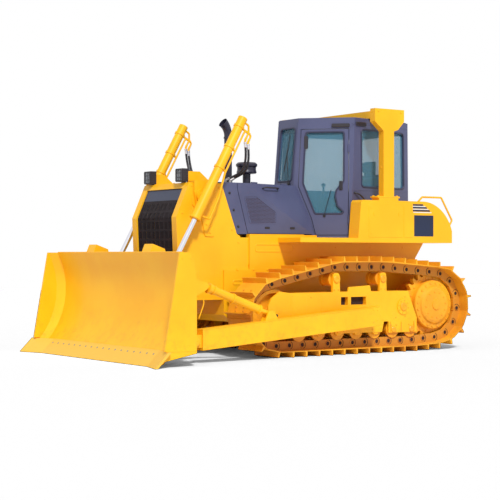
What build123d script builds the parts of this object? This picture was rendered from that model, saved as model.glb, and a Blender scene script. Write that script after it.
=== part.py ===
from build123d import *
import math
import os

os.makedirs("parts", exist_ok=True)

# A crawler dozer of about twenty tonnes with a straight tilt blade.
# X runs forward, Y to the machine's left and Z up. Z is 0 on the ground and X is 0 halfway
# between the rear end of the drawbar and the tips of the cutting edge.

# Driving dimensions, in millimetres
axle_x = -2095.0                      # the sprocket axle, from the middle of the machine
track_gauge = 1880.0
track_y = track_gauge / 2
running_clearance = 0.5               # between faces that turn or slide on each other
panel_gap = 8.0                       # round doors and covers

# Undercarriage
wheelbase = 2675.0
sprocket_z = 603.0
idler_z = 525.0
carrier_z = 965.0
shoe_count = 39
shoe_width = 510.0
shoe_thickness = 12.0
grouser_height = 65.0
grouser_width = 20.0
rail_above_pin = 63.0                 # link height from the pins out to the shoe
rail_below_pin = 53.0                 # link height from the pins in to the tread
rail_width = 42.0
rail_gap = 120.0                      # clear width between the two rails of a chain
link_joint = (36.0, 5.0, 16.0)        # place behind the pin, half width and depth of the link joints
sprocket_pin_r = 440.5
idler_pin_r = 385.0
roller_r = 95.0
carrier_r = 90.0
carrier_play = 12.0
roller_count = 7
rear_roller_x = axle_x + 430.0
front_roller_x = axle_x + 2290.0
rear_carrier_x = axle_x + 925.0
front_carrier_x = axle_x + 1710.0
idler_x = axle_x + wheelbase
tooth_count = 27
tooth_width = 70.0
frame_half_width = 150.0              # of the track frame, about the track's middle
frame_plate = 22.0
frame_bottom = 400.0
frame_top = 800.0
frame_rear_x = axle_x + 500.0
frame_windows = [(1217.0, 1469.0), (1519.0, 1634.0)]
window_z = (630.0, 734.0)
window_depth = 60.0
carrier_bridge = (1130.0, 1520.0, 880.0)
frame_front_x = axle_x + 2455.0
shaft_r = 32.0

# Hull
hull_half = 560.0
hull_wall = 80.0
hull_bottom = 430.0
hull_top = 1440.0
hull_front_x = axle_x + 3095.0
hull_rear_x = axle_x - 330.0
bay_rear_x = axle_x + 1830.0          # rear wall of the engine bay
bay_front_x = axle_x + 2990.0
guard_seat_z = 1090.0                 # where the radiator guard stands on the hull
guard_rear_x = axle_x + 2700.0
hood_bottom = 1545.0

# Floor and fenders
floor_z = 1500.0                      # top of the floor plate
fender_half = 1040.0                  # the machine's widest half above the tracks
fender_front_x = axle_x + 2250.0
tank_rear_x = axle_x - 357.0
tank_front_x = axle_x - 15.0
box_front_x = axle_x + 1256.0
box_top = 2000.0

# Push arms
trunnion_x = axle_x + 1330.0
trunnion_z = 490.0
trunnion_r = 70.0
arm_inner = 1225.0
arm_width = 150.0
arm_rear_x = axle_x + 1200.0
arm_front_x = axle_x + 3940.0
arm_rear_top = 618.0
arm_front_top = 402.0
arm_height = 250.0
ball_x = axle_x + 4053.0
ball_z = 262.0
ball_pin_r = 38.0
tongue_r = 75.0
brace_y = 1300.0
brace_rear = (axle_x + 2925.0, 560.0)
brace_front = (axle_x + 3890.0, 915.0)
brace_r = 50.0

# Blade
blade_half = 1671.0
blade_top = 1310.0
board_top_x = axle_x + 4346.0
board_deep = (axle_x + 4230.0, 740.0)
board_foot = (axle_x + 4470.0, 180.0)
board_thickness = 25.0
corner_run = 90.0                     # the board's ends turn forward over this width
end_plate = 28.0
edge_tip_x = axle_x + 4690.0
edge_thickness = 28.0
edge_half = 1350.0
bit_reach = 121.0                     # how far the end bits run forward
bit_half = 1736.0
rib_x = axle_x + 4150.0               # rear face of the blade's beams

# Lift cylinders
lift_y = 700.0
gimbal_x = axle_x + 3452.0
gimbal_z = 2020.0
lift_pin_x = axle_x + 4080.0
lift_pin_z = 900.0
barrel_r = 60.0
barrel_bore_r = 52.0
barrel_up = 1128.0                    # from the gimbal to the barrel's top
barrel_down = 345.0                   # from the gimbal to the gland's face
collar_r = 66.0
gland = 60.0
lift_rod_r = 34.0
rod_reach = 470.0                     # length of rod inside the barrel at rest
eye_r = 62.0
eye_width = 80.0
ear_gap = 150.0                       # between the blade's two ears
ear_plate = 22.0
gimbal_stub_r = 45.0

# Radiator guard
guard_half = 540.0
guard_wall = 40.0
guard_top = 2180.0
guard_bottom = 715.0
guard_front = [(axle_x + 3600.0, 2180.0), (axle_x + 3790.0, 1750.0), (axle_x + 3771.0, 1304.0)]
guard_foot_x = axle_x + 3750.0
grille_half = 430.0

# Engine hood
hood_half = 500.0
hood_top_z = 2200.0
hood_skin = 25.0
crease_x = axle_x + 2750.0            # where the hood's slanted facet starts
hood_rear_x = axle_x + 1620.0
cover_front_top_x = axle_x + 2875.0
cover_front_bottom_x = axle_x + 2690.0
hood_front_top_x = axle_x + 3118.0
hood_front_bottom_x = axle_x + 2885.0

# Cab
cab_top = 3100.0
cab_lean_z = 3060.0                   # height at which the leaning corners are given
cab_wall = 50.0
cab_front_low = axle_x + 1812.0
cab_front_high = axle_x + 1670.0
cab_post_low = (axle_x + 1234.0, 800.0)
cab_post_high = (axle_x + 1142.0, 765.0)
cab_rear_x = axle_x + 10.0
cab_nose_low = 211.0
cab_nose_high = 227.0
cab_tail_slope = 0.2                  # how fast the cab narrows behind its posts
cover_rear_gap = 14.0                 # between an open engine cover and the cab
glass_thickness = 6.0
glass_seat = 0.3
door_thickness = 45.0

# Roll-over frame
post_x = (axle_x + 690.0, axle_x + 872.0)
post_inner = 940.0
gusset_x = (axle_x + 513.0, axle_x + 1020.0)
gusset_top = 3215.0
beam_x = (axle_x + 560.0, axle_x + 850.0)
beam_z = (3112.0, 3210.0)


def finish(block, label):
    # names a finished piece and writes it
    block.part.label = label
    export_step(block.part, f"parts/{label}.step")


def block(x_span, y_span, z_span, mode=Mode.ADD):
    # a box between three pairs of limits
    middle = [(low + high) / 2 for low, high in (x_span, y_span, z_span)]
    size = [high - low for low, high in (x_span, y_span, z_span)]
    with Locations(tuple(middle)):
        Box(*size, mode=mode)


def side_plate(points, y_low, y_high, mode=Mode.ADD):
    # a flat outline in X and Z, as thick as the span in Y
    with BuildSketch(Plane.XZ.offset(-y_high)) as outline:
        with BuildLine():
            Polyline(*points, close=True)
        make_face()
    extrude(outline.sketch, amount=y_high - y_low, mode=mode)


def cross_bar(x, z, radius, y_low, y_high, mode=Mode.ADD):
    # a round bar or hole along Y
    with BuildSketch(Plane.XZ.offset(-y_high)) as outline:
        with Locations((x, z)):
            Circle(radius)
    extrude(outline.sketch, amount=y_high - y_low, mode=mode)


def plan_plate(points, z_low, z_high, mode=Mode.ADD):
    # a flat outline in X and Y, as thick as the span in Z
    with BuildSketch(Plane.XY.offset(z_low)) as outline:
        with BuildLine():
            Polyline(*points, close=True)
        make_face()
    extrude(outline.sketch, amount=z_high - z_low, mode=mode)


def both_sides():
    # repeats what was built on the left on the right
    mirror(about=Plane.XZ)


def mirrored(name, source):
    # the right-hand copy of a left-hand piece
    with BuildPart() as copy:
        add(mirror(source.part, about=Plane.XZ))
    finish(copy, name)


# Chain: the pins stand at even steps along a belt round sprocket, rollers, idler and carriers
belt_wheels = [
    (axle_x, sprocket_z, sprocket_pin_r),
    (rear_roller_x, grouser_height + shoe_thickness + rail_above_pin, 0.0),
    (front_roller_x, grouser_height + shoe_thickness + rail_above_pin, 0.0),
    (idler_x, idler_z, idler_pin_r),
    (front_carrier_x, carrier_z, carrier_r + rail_below_pin + carrier_play),
    (rear_carrier_x, carrier_z, carrier_r + rail_below_pin + carrier_play),
]


def belt_pieces():
    # arcs round the wheels and the tangents between them, as (kind, data, length)
    count = len(belt_wheels)
    normals = []
    for i in range(count):
        x0, z0, r0 = belt_wheels[i]
        x1, z1, r1 = belt_wheels[(i + 1) % count]
        span = math.hypot(x1 - x0, z1 - z0)
        normals.append(math.atan2(z1 - z0, x1 - x0) - math.acos((r0 - r1) / span))
    pieces = []
    for i in range(count):
        x0, z0, r0 = belt_wheels[i]
        x1, z1, r1 = belt_wheels[(i + 1) % count]
        turn = (normals[i] - normals[i - 1]) % (2 * math.pi)
        pieces.append(("arc", (x0, z0, r0, normals[i - 1]), turn * r0))
        start = (x0 + r0 * math.cos(normals[i]), z0 + r0 * math.sin(normals[i]))
        end = (x1 + r1 * math.cos(normals[i]), z1 + r1 * math.sin(normals[i]))
        pieces.append(("line", (start, end), math.dist(start, end)))
    return pieces


def belt_point(pieces, distance):
    # the point that lies this far along the belt
    for kind, data, length in pieces:
        if distance <= length and length > 0:
            if kind == "line":
                (x0, z0), (x1, z1) = data
                share = distance / length
                return (x0 + share * (x1 - x0), z0 + share * (z1 - z0))
            x0, z0, r0, angle = data
            angle += distance / r0
            return (x0 + r0 * math.cos(angle), z0 + r0 * math.sin(angle))
        distance -= length
    return belt_point(pieces, 0.0)


def chain_pins():
    # one pin stands straight under the sprocket's axle
    pieces = belt_pieces()
    total = sum(length for kind, data, length in pieces)
    first_angle = pieces[0][1][3]
    to_bottom = ((-math.pi / 2 - first_angle) % (2 * math.pi)) * sprocket_pin_r
    return [belt_point(pieces, (to_bottom + total * k / shoe_count) % total) for k in range(shoe_count)]


pins = chain_pins()


def link_frame(k):
    # a link's rear pin, its direction, its outward normal and its length
    (x0, z0), (x1, z1) = pins[k % shoe_count], pins[(k + 1) % shoe_count]
    length = math.dist((x0, z0), (x1, z1))
    along = ((x1 - x0) / length, (z1 - z0) / length)
    return (x0, z0), along, (along[1], -along[0]), length


def chain_offset(height):
    # the chain's outline this far outside its pins, with a corner at each pin
    corners = []
    for k in range(shoe_count):
        pin, along, normal, length = link_frame(k)
        before = link_frame(k - 1)[2]
        middle = (normal[0] + before[0], normal[1] + before[1])
        scale = 2 * height / (middle[0] ** 2 + middle[1] ** 2)
        corners.append((pin[0] + middle[0] * scale, pin[1] + middle[1] * scale))
    return corners


plate_out = rail_above_pin + shoe_thickness
grouser_out = plate_out + grouser_height
notch_out = rail_above_pin + 4.0


def shoe_outline():
    # the outer edge of all shoes: a tapered grouser at the rear of each plate
    corners = []
    for k in range(shoe_count):
        pin, along, normal, length = link_frame(k)
        steps = [
            (6.0, plate_out),
            (12.0, grouser_out),
            (12.0 + grouser_width * 0.7, grouser_out),
            (12.0 + grouser_width * 1.2, plate_out),
            (length - 6.0, plate_out),
            (length, notch_out),
        ]
        for t, out in steps:
            corners.append((pin[0] + along[0] * t + normal[0] * out, pin[1] + along[1] * t + normal[1] * out))
    return corners


def tread_outline():
    # the rails' side towards the wheels, with a notch where one link ends and the next begins
    place, half, depth = link_joint
    corners = []
    for k, corner in enumerate(chain_offset(-rail_below_pin)):
        pin, along, normal, length = link_frame(k)
        corners.append(corner)
        for t, rise in ((place - half, 0.0), (place, depth), (place + half, 0.0)):
            out = rise - rail_below_pin
            corners.append((pin[0] + along[0] * t + normal[0] * out, pin[1] + along[1] * t + normal[1] * out))
    return corners


with BuildPart() as track_left:
    side_plate(shoe_outline(), track_y - shoe_width / 2, track_y + shoe_width / 2)
    side_plate(
        chain_offset(rail_above_pin),
        track_y - shoe_width / 2 - 1,
        track_y + shoe_width / 2 + 1,
        mode=Mode.SUBTRACT,
    )
    for side in (-1, 1):
        rail_middle = track_y + side * (rail_gap + rail_width) / 2
        with BuildSketch(Plane.XZ.offset(-(rail_middle + rail_width / 2))):
            with BuildLine():
                Polyline(*chain_offset(rail_above_pin + 2.0), close=True)
            make_face()
            with BuildLine():
                Polyline(*tread_outline(), close=True)
            make_face(mode=Mode.SUBTRACT)
        extrude(amount=rail_width)
finish(track_left, "track_left")
mirrored("track_right", track_left)

# Sprocket: a toothed rim between the rails, two teeth to a link
tooth_root_r = sprocket_pin_r - 42.0
tooth_tip_r = sprocket_pin_r + 20.0


# each tooth's corners, as (share of the tooth's step, radius)
tooth_profile = [(-0.34, tooth_root_r), (-0.12, tooth_tip_r), (0.12, tooth_tip_r), (0.34, tooth_root_r)]


def tooth_corners():
    # the rim's outline, with a gap between two teeth straight below the axle
    corners = []
    step = 2 * math.pi / tooth_count
    for k in range(tooth_count):
        middle = -math.pi / 2 + (k + 0.5) * step
        for share, radius in tooth_profile:
            angle = middle + share * step
            corners.append((axle_x + radius * math.cos(angle), sprocket_z + radius * math.sin(angle)))
    return corners


drum_r = 330.0
sprocket_bore_r = drum_r - 40.0
with BuildPart() as sprockets:
    side_plate(tooth_corners(), track_y - tooth_width / 2, track_y + tooth_width / 2)
    cross_bar(
        axle_x, sprocket_z, sprocket_bore_r, track_y - tooth_width, track_y + tooth_width, mode=Mode.SUBTRACT
    )
    both_sides()
finish(sprockets, "sprockets")


def wheel(x, z, points):
    # turns a half outline of (distance from the track's middle, radius) about an axle along Y
    with BuildSketch(Plane.YZ.offset(x)) as outline:
        with BuildLine():
            Polyline(*[(track_y + across, z + radius) for across, radius in points], close=True)
        make_face()
    revolve(outline.sketch, axis=Axis((x, 0, z), (0, 1, 0)))


# Final drives: a casing from the hull through the sprocket to a domed cover
with BuildPart() as final_drives:
    wheel(
        axle_x,
        sprocket_z,
        [
            (hull_half - track_y, 0),
            (hull_half - track_y, sprocket_bore_r + 10),
            (-tooth_width / 2, sprocket_bore_r + 10),
            (-tooth_width / 2, sprocket_bore_r),
            (tooth_width / 2, sprocket_bore_r),
            (tooth_width / 2, drum_r),
            (100, drum_r),
            (115, drum_r - 10),
            (130, 262),
            (152, 246),
            (165, 215),
            (165, 78),
            (168, 70),
            (178, 66),
            (180, 0),
        ],
    )
    both_sides()
finish(final_drives, "final_drives")

tread_out = rail_gap / 2 + rail_width + 3.0
bracket_in = frame_half_width - frame_plate
link_half_angle = math.asin(link_frame(0)[3] / 2 / idler_pin_r)
idler_tread_r = idler_pin_r * math.cos(link_half_angle) - rail_below_pin - running_clearance
flange_in = rail_gap / 2 - 8.0
with BuildPart() as idlers:
    wheel(
        idler_x,
        idler_z,
        [
            (-bracket_in, 0),
            (-bracket_in, 55),
            (-bracket_in + 10, 95),
            (-45, 110),
            (-45, idler_tread_r - 60),
            (-tread_out, idler_tread_r - 40),
            (-tread_out, idler_tread_r),
            (-flange_in, idler_tread_r),
            (-flange_in + 6, idler_tread_r + 20),
            (flange_in - 6, idler_tread_r + 20),
            (flange_in, idler_tread_r),
            (tread_out, idler_tread_r),
            (tread_out, idler_tread_r - 40),
            (45, idler_tread_r - 60),
            (45, 110),
            (bracket_in - 10, 95),
            (bracket_in, 55),
            (bracket_in, 0),
        ],
    )
    both_sides()
finish(idlers, "idlers")

roller_play = 2.0
roller_z = grouser_height + shoe_thickness + rail_above_pin + rail_below_pin + roller_r + roller_play
roller_xs = [
    rear_roller_x + (front_roller_x - rear_roller_x) * k / (roller_count - 1) for k in range(roller_count)
]
with BuildPart() as track_rollers:
    for x in roller_xs:
        wheel(
            x,
            roller_z,
            [
                (-bracket_in, 0),
                (-bracket_in, shaft_r),
                (-tread_out - 16, shaft_r),
                (-tread_out - 16, roller_r + 14),
                (-tread_out, roller_r + 14),
                (-tread_out, roller_r),
                (-flange_in, roller_r),
                (-flange_in, roller_r - 18),
                (flange_in, roller_r - 18),
                (flange_in, roller_r),
                (tread_out, roller_r),
                (tread_out, roller_r + 14),
                (tread_out + 16, roller_r + 14),
                (tread_out + 16, shaft_r),
                (bracket_in, shaft_r),
                (bracket_in, 0),
            ],
        )
    both_sides()
finish(track_rollers, "track_rollers")

carrier_bracket_in = 112.0
with BuildPart() as carrier_rollers:
    for x in (rear_carrier_x, front_carrier_x):
        wheel(
            x,
            carrier_z,
            [
                (-tread_out, 0),
                (-tread_out, carrier_r),
                (-flange_in, carrier_r),
                (-flange_in, carrier_r - 15),
                (flange_in, carrier_r - 15),
                (flange_in, carrier_r),
                (tread_out, carrier_r),
                (tread_out, shaft_r),
                (carrier_bracket_in, shaft_r),
                (carrier_bracket_in, 0),
            ],
        )
    both_sides()
finish(carrier_rollers, "carrier_rollers")

# Track frame: a box beam with roller brackets below, carrier brackets above,
# a fork for the idler in front and the trunnion for the push arm outside
yoke_front_x = idler_x + 85.0
bracket_half = 58.0
guard_plate = 14.0
frame_out = track_y + frame_half_width
with BuildPart() as track_frames:
    block(
        (frame_rear_x, frame_front_x),
        (track_y - frame_half_width, frame_out),
        (frame_bottom, frame_top),
    )
    block(
        (idler_x - idler_tread_r - 45.0, frame_front_x + 1),
        (track_y - bracket_in, track_y + bracket_in),
        (frame_bottom - 1, frame_top + 1),
        mode=Mode.SUBTRACT,
    )
    for low in (-frame_half_width, bracket_in):
        side_plate(
            [
                (frame_front_x - 5, frame_bottom + 20),
                (yoke_front_x, frame_bottom + 20),
                (yoke_front_x + 30, frame_bottom + 70),
                (yoke_front_x + 30, 640),
                (yoke_front_x - 20, 740),
                (idler_x - 60, 820),
                (frame_front_x - 5, frame_top),
            ],
            track_y + low,
            track_y + low + frame_plate,
        )
        side_plate(
            [
                (frame_rear_x + 5, frame_bottom),
                (frame_rear_x + 5, frame_top),
                (frame_rear_x - 10, frame_top),
                (frame_rear_x - 165, frame_bottom + 40),
                (frame_rear_x - 165, frame_bottom - 150),
                (frame_rear_x + 330, frame_bottom - 150),
                (frame_rear_x + 330, frame_bottom),
            ],
            track_y + low,
            track_y + low + frame_plate,
        )
        for x in roller_xs[2:]:
            side_plate(
                [
                    (x - bracket_half, frame_bottom + 5),
                    (x - bracket_half, roller_z - 20),
                    (x - bracket_half / 2, roller_z - 52),
                    (x + bracket_half / 2, roller_z - 52),
                    (x + bracket_half, roller_z - 20),
                    (x + bracket_half, frame_bottom + 5),
                ],
                track_y + low,
                track_y + low + frame_plate,
            )
    for x in (rear_carrier_x, front_carrier_x):
        side_plate(
            [
                (x - 62, frame_top - 5),
                (x - 50, carrier_z + 60),
                (x - 30, carrier_z + 80),
                (x + 30, carrier_z + 80),
                (x + 50, carrier_z + 60),
                (x + 62, frame_top - 5),
            ],
            track_y + carrier_bracket_in,
            frame_out,
        )
    for low, high in frame_windows:
        block(
            (axle_x + low, axle_x + high),
            (frame_out - window_depth, frame_out + 1),
            window_z,
            mode=Mode.SUBTRACT,
        )
    bridge_rear, bridge_front, bridge_top = carrier_bridge
    side_plate(
        [
            (axle_x + bridge_rear, frame_top - 5),
            (axle_x + bridge_rear + 20, bridge_top),
            (axle_x + bridge_front - 15, bridge_top - 18),
            (axle_x + bridge_front, frame_top - 5),
        ],
        frame_out - frame_plate,
        frame_out,
    )
    side_plate(
        [
            (roller_xs[2] - 130, frame_bottom + 10),
            (roller_xs[2] - 95, roller_z - 25),
            (roller_xs[4] + 15, roller_z - 25),
            (roller_xs[4] + 55, frame_bottom + 10),
        ],
        frame_out - 1,
        frame_out + guard_plate,
    )
    cross_bar(idler_x, idler_z, 58, frame_out - 5, frame_out + 24)
    cross_bar(axle_x + 575, 590, 105, frame_out - 5, frame_out + 12)
    cross_bar(trunnion_x, trunnion_z, trunnion_r + 30, frame_out - 5, arm_inner - 30)
    cross_bar(trunnion_x, trunnion_z, trunnion_r, frame_out - 5, arm_inner + arm_width - 40)
    both_sides()
finish(track_frames, "track_frames")

# Hull: the welded main frame with the steering case behind and the engine bay in front
bar_x = axle_x + 2300.0
bar_z = 640.0
bar_half = (75.0, 70.0)
pivot_x = axle_x + 640.0
pivot_z = 560.0
with BuildPart() as hull_frame:
    side_plate(
        [
            (axle_x - 260, hull_top),
            (axle_x - 110, 1230),
            (axle_x - 110, 1100),
            (hull_rear_x, 1000),
            (hull_rear_x, 560),
            (axle_x - 150, hull_bottom),
            (hull_front_x - 120, hull_bottom),
            (hull_front_x, hull_bottom + 90),
            (hull_front_x, guard_seat_z),
            (guard_rear_x, guard_seat_z),
            (guard_rear_x, hood_bottom),
            (bay_rear_x, hood_bottom),
            (bay_rear_x, hull_top),
        ],
        -hull_half,
        hull_half,
    )
    block(
        (bay_rear_x + 60, bay_front_x),
        (-hull_half + hull_wall, hull_half - hull_wall),
        (hull_bottom + 60, hood_bottom + 10),
        mode=Mode.SUBTRACT,
    )
    block(
        (bar_x - bar_half[0] - 20, bar_x + bar_half[0] + 20),
        (-hull_half - 1, hull_half + 1),
        (bar_z - bar_half[1] - 40, bar_z + bar_half[1] + 40),
        mode=Mode.SUBTRACT,
    )
finish(hull_frame, "hull_frame")

# Pivot shafts join hull and track frames, and the equalizer bar rocks between them
with BuildPart() as frame_pivots:
    cross_bar(pivot_x, pivot_z, 90.0, hull_half, track_y - frame_half_width)
    both_sides()
    plan_plate(
        [
            (bar_x - bar_half[0], 0),
            (bar_x - 55, track_y - frame_half_width),
            (bar_x + 55, track_y - frame_half_width),
            (bar_x + bar_half[0], 0),
            (bar_x + 55, -track_y + frame_half_width),
            (bar_x - 55, -track_y + frame_half_width),
        ],
        bar_z - bar_half[1],
        bar_z + bar_half[1],
    )
finish(frame_pivots, "frame_pivots")

# Engine: one plain block on feet in the bay
engine_x = (axle_x + 1900.0, axle_x + 2900.0)
with BuildPart() as engine_block:
    block(engine_x, (-300, 300), (820, 1750))
    block((engine_x[0] + 100, engine_x[1] - 100), (-230, 230), (hull_bottom + 60 + 300, 821))
    for x in (engine_x[0] + 120, engine_x[1] - 120):
        block((x - 50, x + 50), (-hull_half + hull_wall, hull_half - hull_wall), (880, 960))
    block((engine_x[0] + 60, engine_x[1] - 150), (-150, 150), (1740, 1850))
finish(engine_block, "engine_block")

# Radiator guard: two side plates joined by a top, a rear frame and the grille's frame
front_top, front_bend, front_low = guard_front
guard_outline = [
    front_top,
    front_bend,
    front_low,
    (guard_foot_x, guard_bottom),
    (hull_front_x, guard_bottom),
    (hull_front_x, guard_seat_z),
    (guard_rear_x, guard_seat_z),
    (guard_rear_x + 12, 1151),
    (axle_x + 2836, hood_bottom - 25),
    (hood_front_bottom_x, hood_bottom),
    (hood_front_top_x, guard_top),
]
grille_depth = 60.0
with BuildPart() as radiator_guard:
    side_plate(guard_outline, -guard_half, guard_half)
    side_plate(
        [
            (front_top[0] - 200, guard_top - guard_wall),
            (front_top[0] - 180, guard_top - guard_wall - 100),
            (front_bend[0] - 160, front_bend[1]),
            (front_low[0] - 160, front_low[1]),
            (guard_foot_x - 160, guard_bottom + 60),
            (hull_front_x + 40, guard_bottom + 60),
            (hull_front_x + 40, guard_bottom - 1),
            (hull_front_x - 5, guard_bottom - 1),
            (guard_rear_x - 1, guard_bottom - 1),
            (guard_rear_x - 1, guard_top - guard_wall),
        ],
        -guard_half + guard_wall,
        guard_half - guard_wall,
        mode=Mode.SUBTRACT,
    )
    side_plate(
        [
            (front_top[0] - 210, front_top[1] - 70),
            (front_top[0] + 300, front_top[1] - 70),
            (front_bend[0] + 100, guard_bottom + 150),
            (front_bend[0] - 210, guard_bottom + 150),
        ],
        -grille_half,
        grille_half,
        mode=Mode.SUBTRACT,
    )
finish(radiator_guard, "radiator_guard")

# Radiator core, upright behind the grille
core_x = (axle_x + 3240.0, axle_x + 3380.0)
with BuildPart() as radiator_core:
    core_half = guard_half - guard_wall
    block(core_x, (-core_half, core_half), (guard_bottom + 60, guard_top - guard_wall))
finish(radiator_core, "radiator_core")

# Grille: a frame with slats that follows the guard's bent front
grille_gap = 0.3


def front_line(z):
    # X of the guard's bent front at this height
    if z > front_bend[1]:
        low, high = front_bend, front_top
    else:
        low, high = front_low, front_bend
    return low[0] + (high[0] - low[0]) * (z - low[1]) / (high[1] - low[1])


grille_low = guard_bottom + 150.0 + grille_gap
grille_high = guard_top - 70.0 - grille_gap
grille_setback = 20.0
grille_thick = 40.0
band_low = 1960.0
slat_rows = 9
slat_columns = 8
rim = 30.0


def grille_section(low, high, setback, thick):
    # an outline of the leaning grille between two heights
    heights = [low, front_bend[1], high] if low < front_bend[1] < high else [low, high]
    face = [(front_line(z) - setback, z) for z in heights]
    back = [(x - thick, z) for x, z in reversed(face)]
    return face + back


with BuildPart() as grille:
    width = grille_half - grille_gap
    side_plate(grille_section(grille_low, grille_high, grille_setback, grille_thick), -width, width)
    cell_y = (2 * width - rim) / slat_columns
    cell_z = (band_low - grille_low - rim) / slat_rows
    for row in range(slat_rows):
        low = grille_low + rim + row * cell_z
        for column in range(slat_columns):
            y_low = -width + rim + column * cell_y
            block(
                (front_line(low) - 300, front_line(low) + 200),
                (y_low, y_low + cell_y - rim),
                (low, low + cell_z - rim),
                mode=Mode.SUBTRACT,
            )
finish(grille, "grille")

# Headlamps on the guard's top
lamp_x = axle_x + 3650.0
lamp_y = 384.0
lamp_size = (85.0, 158.0, 165.0)
lamp_lift = 12.0
with BuildPart() as headlamps:
    depth, width, height = lamp_size
    block(
        (lamp_x - depth, lamp_x),
        (lamp_y - width / 2, lamp_y + width / 2),
        (guard_top + lamp_lift, guard_top + lamp_lift + height),
    )
    block((lamp_x - depth, front_top[0]), (lamp_y - 30, lamp_y + 30), (guard_top, guard_top + lamp_lift + 1))
    both_sides()
finish(headlamps, "headlamps")

# Hood: a skin with slanted rear facets, so that the driver sees past it
facet_corner = (crease_x, hood_half, hood_top_z)
facet_rear = (axle_x + 1749.0, 256.0, hood_top_z)
facet_low = (axle_x + 1850.0, hood_half, 1674.0)


def facet_plane(inset):
    # the slanted facet's plane, moved inward by the inset
    corner, rear, low = (Vector(*point) for point in (facet_corner, facet_rear, facet_low))
    normal = (rear - corner).cross(low - corner).normalized()
    if normal.Y < 0:
        normal = normal * -1
    return Plane(origin=corner - normal * inset, x_dir=rear - corner, z_dir=normal)


def mirrored_plane(plane):
    # the same plane on the machine's other side
    def flip(vector):
        return Vector(vector.X, -vector.Y, vector.Z)

    return Plane(origin=flip(plane.origin), x_dir=flip(plane.x_dir), z_dir=flip(plane.z_dir))


def cab_plan(z):
    # the cab's six corners at this height
    share = (z - floor_z) / (cab_lean_z - floor_z)

    def between(low, high):
        return low + (high - low) * share

    front = between(cab_front_low, cab_front_high)
    nose = between(cab_nose_low, cab_nose_high)
    post = (between(cab_post_low[0], cab_post_high[0]), between(cab_post_low[1], cab_post_high[1]))
    tail = post[1] - cab_tail_slope * (post[0] - cab_rear_x)
    return [
        (front, -nose),
        (front, nose),
        post,
        (cab_rear_x, tail),
        (cab_rear_x, -tail),
        (post[0], -post[1]),
    ]


def cab_solid(inset, z_low, z_high, mode=Mode.ADD):
    # the cab's leaning six-sided body, its walls moved inward by the inset
    rings = []
    for z in (z_low, z_high):
        with BuildSketch(Plane.XY.offset(z)) as ring:
            with BuildLine():
                Polyline(*cab_plan(z), close=True)
            make_face()
            if inset:
                offset(amount=-inset, kind=Kind.INTERSECTION, mode=Mode.REPLACE)
        rings.append(ring.sketch)
    loft(rings, ruled=True, mode=mode)


def guard_rear_line(z):
    # X of the guard's slanted rear edge at this height
    slope = (hood_front_top_x - hood_front_bottom_x) / (guard_top - hood_bottom)
    return hood_front_bottom_x + slope * (z - hood_bottom)


def hood_outline(inset):
    # the hood's side outline, or its hollow's when inset
    low, high = hood_bottom - 5 * inset, hood_top_z - inset
    return [
        (hood_rear_x - 5 * inset, low),
        (hood_rear_x - 5 * inset, high),
        (guard_rear_line(high) + 5 * inset, high),
        (guard_rear_line(low) + 5 * inset, low),
    ]


def hood_solid(inset):
    # the hood's body with both facets cut, its walls moved inward by the inset
    with BuildPart(mode=Mode.PRIVATE) as body:
        side_plate(hood_outline(inset), -hood_half + inset, hood_half - inset)
        facet = facet_plane(inset)
        split(bisect_by=facet, keep=Keep.BOTTOM)
        split(bisect_by=mirrored_plane(facet), keep=Keep.BOTTOM)
    return body.part


with BuildPart() as cab_space:
    cab_solid(-panel_gap, floor_z, cab_top + 10)

with BuildPart() as hood_shell:
    add(hood_solid(0))
    add(hood_solid(hood_skin), mode=Mode.SUBTRACT)
    add(cab_space.part, mode=Mode.SUBTRACT)

# Engine covers: the hood's sides behind the dividing line, hinged along their top edges
hinge_edge = (Vector(*facet_rear) - Vector(*facet_corner)).normalized()
hinge_r = 12.0
knuckle_room_r = hinge_r + running_clearance
hinge_rise = 8.0                      # of the hinge line above the panels it joins
knuckle = 36.0
knuckle_gap = 0.4
cover_margin = 30.0                   # hood left standing inside the hinge line
cover_hinges = (230.0, 820.0)         # from the facet's front corner back along its edge


def knuckles(origin, direction, places, fixed, radius, mode=Mode.ADD):
    # hinge barrels round a line: one on the moving panel between two on the fixed one
    step = knuckle + knuckle_gap
    for place in places:
        for shift in (-step, step) if fixed else (0.0,):
            start = origin + direction * (place + shift - knuckle / 2)
            with BuildSketch(Plane(origin=start, z_dir=direction)) as ring:
                Circle(radius)
            extrude(ring.sketch, amount=knuckle, mode=mode)


hinge_outward = Vector(-hinge_edge.Y, hinge_edge.X, 0)
if hinge_outward.Y < 0:
    hinge_outward = hinge_outward * -1
cover_hinge_start = (
    Vector(*facet_corner) - hinge_outward * (cover_margin - panel_gap / 2) + Vector(0, 0, hinge_rise)
)


def cover_region(gap):
    # the space of the left cover, smaller by the gap on its free sides
    line = Vector(*facet_corner) - hinge_outward * (cover_margin - gap)
    rear = line + hinge_edge * 1500
    front = line - hinge_edge * 600
    far = hinge_outward * 900
    with BuildPart(mode=Mode.PRIVATE) as region:
        plan_plate(
            [(point.X, point.Y) for point in (front, rear, rear + far, front + far)],
            hood_bottom - panel_gap + 2 * gap,
            hood_top_z + 1,
        )
        side_plate(
            [
                (cover_front_top_x - gap, hood_top_z),
                (cover_front_bottom_x - gap, hood_bottom),
                (cover_front_bottom_x - gap, hood_bottom - 20),
                (cover_front_top_x + 900, hood_bottom - 20),
                (cover_front_top_x + 900, hood_top_z + 20),
                (cover_front_top_x - gap, hood_top_z + 20),
            ],
            0,
            1500,
            mode=Mode.SUBTRACT,
        )
    return region.part


with BuildPart() as hood_left:
    add(hood_shell.part)
    add(cover_region(0), mode=Mode.SUBTRACT)
    split(bisect_by=Plane.XZ, keep=Keep.BOTTOM)
    knuckles(cover_hinge_start, hinge_edge, cover_hinges, True, hinge_r)
    knuckles(cover_hinge_start, hinge_edge, cover_hinges, False, knuckle_room_r, mode=Mode.SUBTRACT)

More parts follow.
